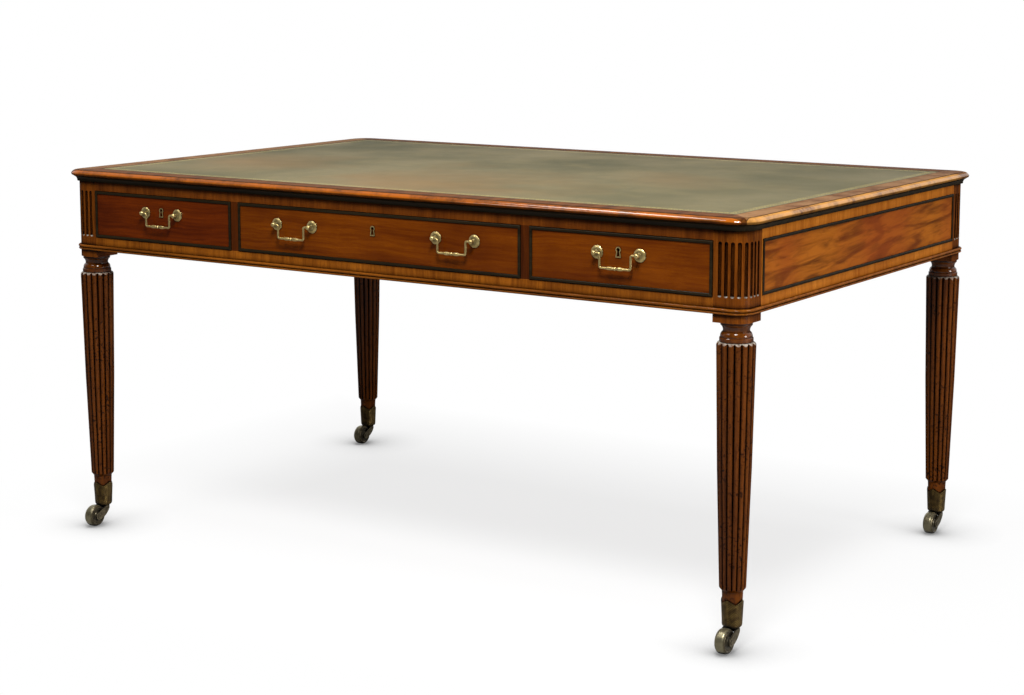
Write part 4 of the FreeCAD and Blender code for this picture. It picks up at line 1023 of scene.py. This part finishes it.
# End rails: a lighter copy of the banding, partly painted light for the stronger light on the ends.
END_BANDING = Crossbanding("end_banding", srgb(124, 58, 6), srgb(194, 109, 21), srgb(226, 142, 47),
                           grain=Grain.ALONG_Z, contrast=1.1, run=1, grime_and_shade=0.5)
BORDER = MitredBorder("border_mahogany", srgb(46, 20, 6), srgb(98, 52, 18), srgb(144, 86, 34), contrast=1.3,
                      coat=0.1)
END_FLAME = FlamePanel("end_flame", FLAME_DARK, FLAME_MIDDLE, FLAME_LIGHT, grain=Grain.ALONG_Y,
                       tilt=FLAME_RISE, grime_and_shade=0.5)
BACK_FLAME = FlamePanel("back_flame", FLAME_DARK, FLAME_MIDDLE, FLAME_LIGHT, tilt=FLAME_RISE, grime_and_shade=0.5)
EBONISED = PolishedWood("ebonised", srgb(16, 12, 7), srgb(32, 25, 15), srgb(66, 54, 34), contrast=0.6,
                        roughness=0.36, coat=0.2, grime_and_shade=0.6)
CARCASS = PlainTimber("carcass", srgb(92, 58, 32), srgb(142, 100, 62))
CARCASS_DEEP = PlainTimber("carcass_deep", srgb(92, 58, 32), srgb(142, 100, 62), grain=Grain.ALONG_Y)
LINING = PlainTimber("drawer_lining", srgb(128, 88, 50), srgb(176, 134, 86), grain=Grain.ALONG_Y)
HANDLE_BRASS = Brass("handle_brass", srgb(236, 214, 148), srgb(152, 124, 66), srgb(36, 24, 10), 0.3, 0.7)
FORK_BRASS = Brass("fork_brass", srgb(140, 128, 100), srgb(70, 62, 48), srgb(16, 12, 8), 0.36, 1.0)
WHEEL_BRASS = WheelBrass("wheel_brass", srgb(130, 118, 90), srgb(52, 45, 34), srgb(12, 9, 6), 0.3, 1.0)
SOCKET_BRASS = LeafBrass("socket_brass", srgb(152, 124, 68), srgb(74, 56, 29), srgb(16, 11, 6), 0.38, 1.0,
                         relief_depth=0.9 * MM)
LOCK_STEEL = Brass("lock_steel", srgb(150, 148, 144), srgb(96, 92, 88), srgb(40, 32, 26), 0.35, 0.6)


@dataclass
class WritingTop:
    """The top: a hide in a crossbanded border, on a core, with a dark moulding under its edge."""

    border: MitredBorder = BORDER
    under_moulding: PolishedWood = EBONISED

    def dress(self, wardrobe: Wardrobe) -> None:
        """Gives the top's pieces their finishes.

        Args:
            wardrobe: makes and puts on the materials.
        """
        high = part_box("leather_writing_surface")[1]
        wardrobe.dress("leather_writing_surface", Leather("leather", high.x, high.y))
        wardrobe.dress("top_border", self.border)
        wardrobe.dress("top_under_moulding", self.under_moulding)
        wardrobe.dress("top_core_panel", CARCASS)
        wardrobe.dress("top_fixing_screws", LOCK_STEEL)


@dataclass
class Frieze:
    """The rails, panels and mouldings under the top, and what carries the drawers."""

    front: tuple[str, ...] = ("front_bottom_rail", "back_rail")
    ends: tuple[str, ...] = ("left_end_rail", "right_end_rail")
    beads: tuple[str, ...] = ("end_panel_beads", "back_panel_beads")
    inside: tuple[str, ...] = ("drawer_runners", "drawer_kickers", "drawer_stops")

    def dress(self, wardrobe: Wardrobe) -> None:
        """Gives the frieze's pieces their finishes.

        Args:
            wardrobe: makes and puts on the materials.
        """
        finishes = ((self.front, FRONT_BANDING), (self.ends, END_BANDING), (self.beads, EBONISED),
                    (self.inside, CARCASS_DEEP))
        for nodes, finish in finishes:
            for node in nodes:
                wardrobe.dress(node, finish)
        wardrobe.dress("front_top_rail", SHADED_TOP_BANDING)
        wardrobe.dress("end_panels", END_FLAME)
        wardrobe.dress("back_panels", BACK_FLAME)
        wardrobe.dress("drawer_dividers", DIVIDER_WOOD)
        wardrobe.dress("frieze_bottom_moulding", MOULDING_WOOD)


@dataclass
class Leg:
    """A leg with its castor."""

    corner: str

    def dress(self, wardrobe: Wardrobe) -> None:
        """Gives the leg's pieces their finishes.

        Args:
            wardrobe: makes and puts on the materials.
        """
        wardrobe.dress(f"{self.corner}_leg", LEG_WOOD)
        wardrobe.dress(f"{self.corner}_castor_fork", FORK_BRASS)
        wardrobe.dress(f"{self.corner}_castor_wheel", WHEEL_BRASS)


@dataclass
class Drawer:
    """A drawer with its bead, lock and handles."""

    name: str
    bails: tuple[str, ...]
    veneer: PolishedWood = DRAWER_WOOD

    def dress(self, wardrobe: Wardrobe) -> None:
        """Gives the drawer's pieces their finishes.

        Args:
            wardrobe: makes and puts on the materials.
        """
        finishes = {"front": self.veneer, "box": LINING, "bottom": LINING, "bead": EBONISED,
                    "escutcheon": HANDLE_BRASS, "lock_case": HANDLE_BRASS, "lock_bolt": LOCK_STEEL,
                    "handle_posts": HANDLE_BRASS}
        for part, finish in finishes.items():
            wardrobe.dress(f"{self.name}_{part}", finish)
        for bail in self.bails:
            wardrobe.dress(f"{self.name}_{bail}", HANDLE_BRASS)


# Studio


@dataclass(frozen=True)
class Softbox:
    """A lamp that faces a point, as wide as it is high unless a height is given."""

    name: str
    place: tuple[float, float, float]
    target: tuple[float, float, float]
    size: float
    watts: float
    height: float | None = None

    def build(self) -> None:
        """Hangs the lamp."""
        lamp = bpy.data.lights.new(self.name, "AREA")
        lamp.shape = "RECTANGLE"
        lamp.size = self.size
        lamp.size_y = self.height or self.size
        lamp.energy = self.watts
        holder = bpy.data.objects.new(self.name, lamp)
        bpy.context.scene.collection.objects.link(holder)
        holder.location = self.place
        aim = [end - start for start, end in zip(self.place, self.target)]
        turn = math.atan2(aim[0], -aim[1])
        tip = math.atan2(math.hypot(aim[0], aim[1]), -aim[2])
        holder.rotation_euler = (tip, 0.0, turn + math.pi)
        log.info("softbox %s", self.name)


@dataclass(frozen=True)
class Studio:
    """A pale floor, a white surround and soft light."""

    floor_half: float = 9.0
    floor_white: float = 0.95
    floor_bounce: float = 0.35
    shadow_share: float = 0.25
    shadow_half_length: float = 0.6
    shadow_half_depth: float = 0.3
    shadow_fade: float = 0.6
    contact_reach: float = 0.14
    painted_contact_shadow: float = 0.75
    ambient: float = 0.03
    back_fill: float = 1.0
    lamps: tuple[Softbox, ...] = (
        Softbox("key", (1.3, -2.0, 3.0), (0.2, -0.2, 0.6), 0.8, 106.0),
        Softbox("right", (5.2, 0.1, 1.25), (0.8, 0.1, 0.6), 1.5, 138.0),
        Softbox("overhead", (-0.7, -0.8, 2.9), (0.2, -0.3, 0.7), 1.0, 18.0, 0.35),
        Softbox("left", (-0.9, -2.0, 2.5), (0.2, -0.4, 0.7), 0.9, 11.0, 0.6),
    )

    def build(self) -> None:
        """Builds the floor, the surround and the lamps."""
        self.build_floor()
        self.build_surround()
        for lamp in self.lamps:
            lamp.build()

    def build_floor(self) -> None:
        """Lays a floor that shows as white to the camera but for the shadow on it: the lamps' shadow near
        the table, and a painted contact shadow round the castors and legs.
        """
        half = self.floor_half
        mesh = bpy.data.meshes.new("floor")
        corners = [(-half, -half, 0), (half, -half, 0), (half, half, 0), (-half, half, 0)]
        mesh.from_pydata(corners, [], [range(len(corners))])
        floor = bpy.data.objects.new("floor", mesh)
        bpy.context.scene.collection.objects.link(floor)
        paint = bpy.data.materials.new("floor_paint")
        paint.use_nodes = True
        paint.node_tree.nodes.clear()
        tree = Tree(paint.node_tree)
        camera = tree.add("ShaderNodeLightPath").outputs["Is Camera Ray"]
        matt = tree.add("ShaderNodeBsdfDiffuse", {
            "Color": tree.span(camera, 0.0, 1.0, self.floor_bounce, self.floor_white),
        })
        # Painted contact shadow: the white glow dims where the floor is occluded near the castors and legs.
        contact_occlusion = tree.add("ShaderNodeAmbientOcclusion", {"Distance": self.contact_reach}, samples=16)
        glow = tree.add("ShaderNodeEmission", {
            "Strength": tree.span(contact_occlusion.outputs["AO"], 0.55, 0.98, 1.0 - self.painted_contact_shadow, 1.0),
        })
        x, y, _ = tree.axes(tree.place())
        past_end = tree.calc("SUBTRACT", tree.calc("ABSOLUTE", x), self.shadow_half_length)
        past_front = tree.calc("SUBTRACT", tree.calc("ABSOLUTE", y), self.shadow_half_depth)
        away = tree.calc("MAXIMUM", past_end, past_front)
        white = tree.span(away, 0.0, self.shadow_fade, 1.0 - self.shadow_share, 1.0)
        share = tree.calc("MULTIPLY", camera, white)
        both = tree.add("ShaderNodeMixShader", {0: share, 1: matt.outputs[0], 2: glow.outputs[0]})
        tree.add("ShaderNodeOutputMaterial", {"Surface": both.outputs[0]})
        mesh.materials.append(paint)
        log.info("floor laid")

    def build_surround(self) -> None:
        """Makes the surround white to the camera and a soft even light to everything else."""
        world = bpy.data.worlds.new("surround")
        bpy.context.scene.world = world
        world.use_nodes = True
        world.node_tree.nodes.clear()
        tree = Tree(world.node_tree)
        ray = tree.add("ShaderNodeLightPath").outputs
        seen = tree.calc("MAXIMUM", ray["Is Glossy Ray"], ray["Is Transmission Ray"])
        x, y, _ = tree.axes(tree.add("ShaderNodeTexCoord").outputs["Generated"])
        behind = tree.calc("MULTIPLY", seen, tree.span(y, 0.1, 0.6))
        fill = tree.span(tree.calc("SUBTRACT", y, x), 0.2, 1.2, self.ambient, self.back_fill)
        strength = tree.calc("MAXIMUM", tree.calc("MAXIMUM", ray["Is Camera Ray"], behind), fill)
        sky = tree.add("ShaderNodeBackground", {"Color": (1.0, 1.0, 1.0, 1.0), "Strength": strength})
        tree.add("ShaderNodeOutputWorld", {"Surface": sky.outputs[0]})
        log.info("surround made")


@dataclass(frozen=True)
class Viewpoint:
    """The photo's viewpoint."""

    place: tuple[float, float, float] = (2.344, -3.5554, 1.1683)
    down: float = math.radians(7.955)
    turn: float = math.radians(33.54)
    focal_mm: float = 72.236
    pixels_down: float = 87.5

    def build(self) -> None:
        """Sets the camera."""
        data = bpy.data.cameras.new("camera")
        data.lens = self.focal_mm
        data.shift_y = -self.pixels_down / PHOTO_WIDTH
        camera = bpy.data.objects.new("camera", data)
        bpy.context.scene.collection.objects.link(camera)
        camera.location = self.place
        camera.rotation_euler = (math.pi / 2 - self.down, 0.0, self.turn)
        bpy.context.scene.camera = camera
        log.info("camera set")


def main() -> None:
    """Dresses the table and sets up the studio."""
    logging.basicConfig(level=logging.INFO, format="%(message)s")
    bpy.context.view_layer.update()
    wardrobe = Wardrobe(Groups())
    assemblies = [
        WritingTop(),
        Frieze(),
        *(Leg(corner) for corner in ("front_left", "front_right", "back_left", "back_right")),
        Drawer("left_drawer", ("bail",), RED_SHADED_DRAWER_WOOD),
        Drawer("middle_drawer", ("left_bail", "right_bail")),
        Drawer("right_drawer", ("bail",)),
    ]
    for assembly in assemblies:
        assembly.dress(wardrobe)
    wardrobe.dress("castor_sockets", SOCKET_BRASS)
    Studio().build()
    Viewpoint().build()
    bpy.context.scene.view_settings.view_transform = "Standard"


if __name__ == "__main__":
    main()
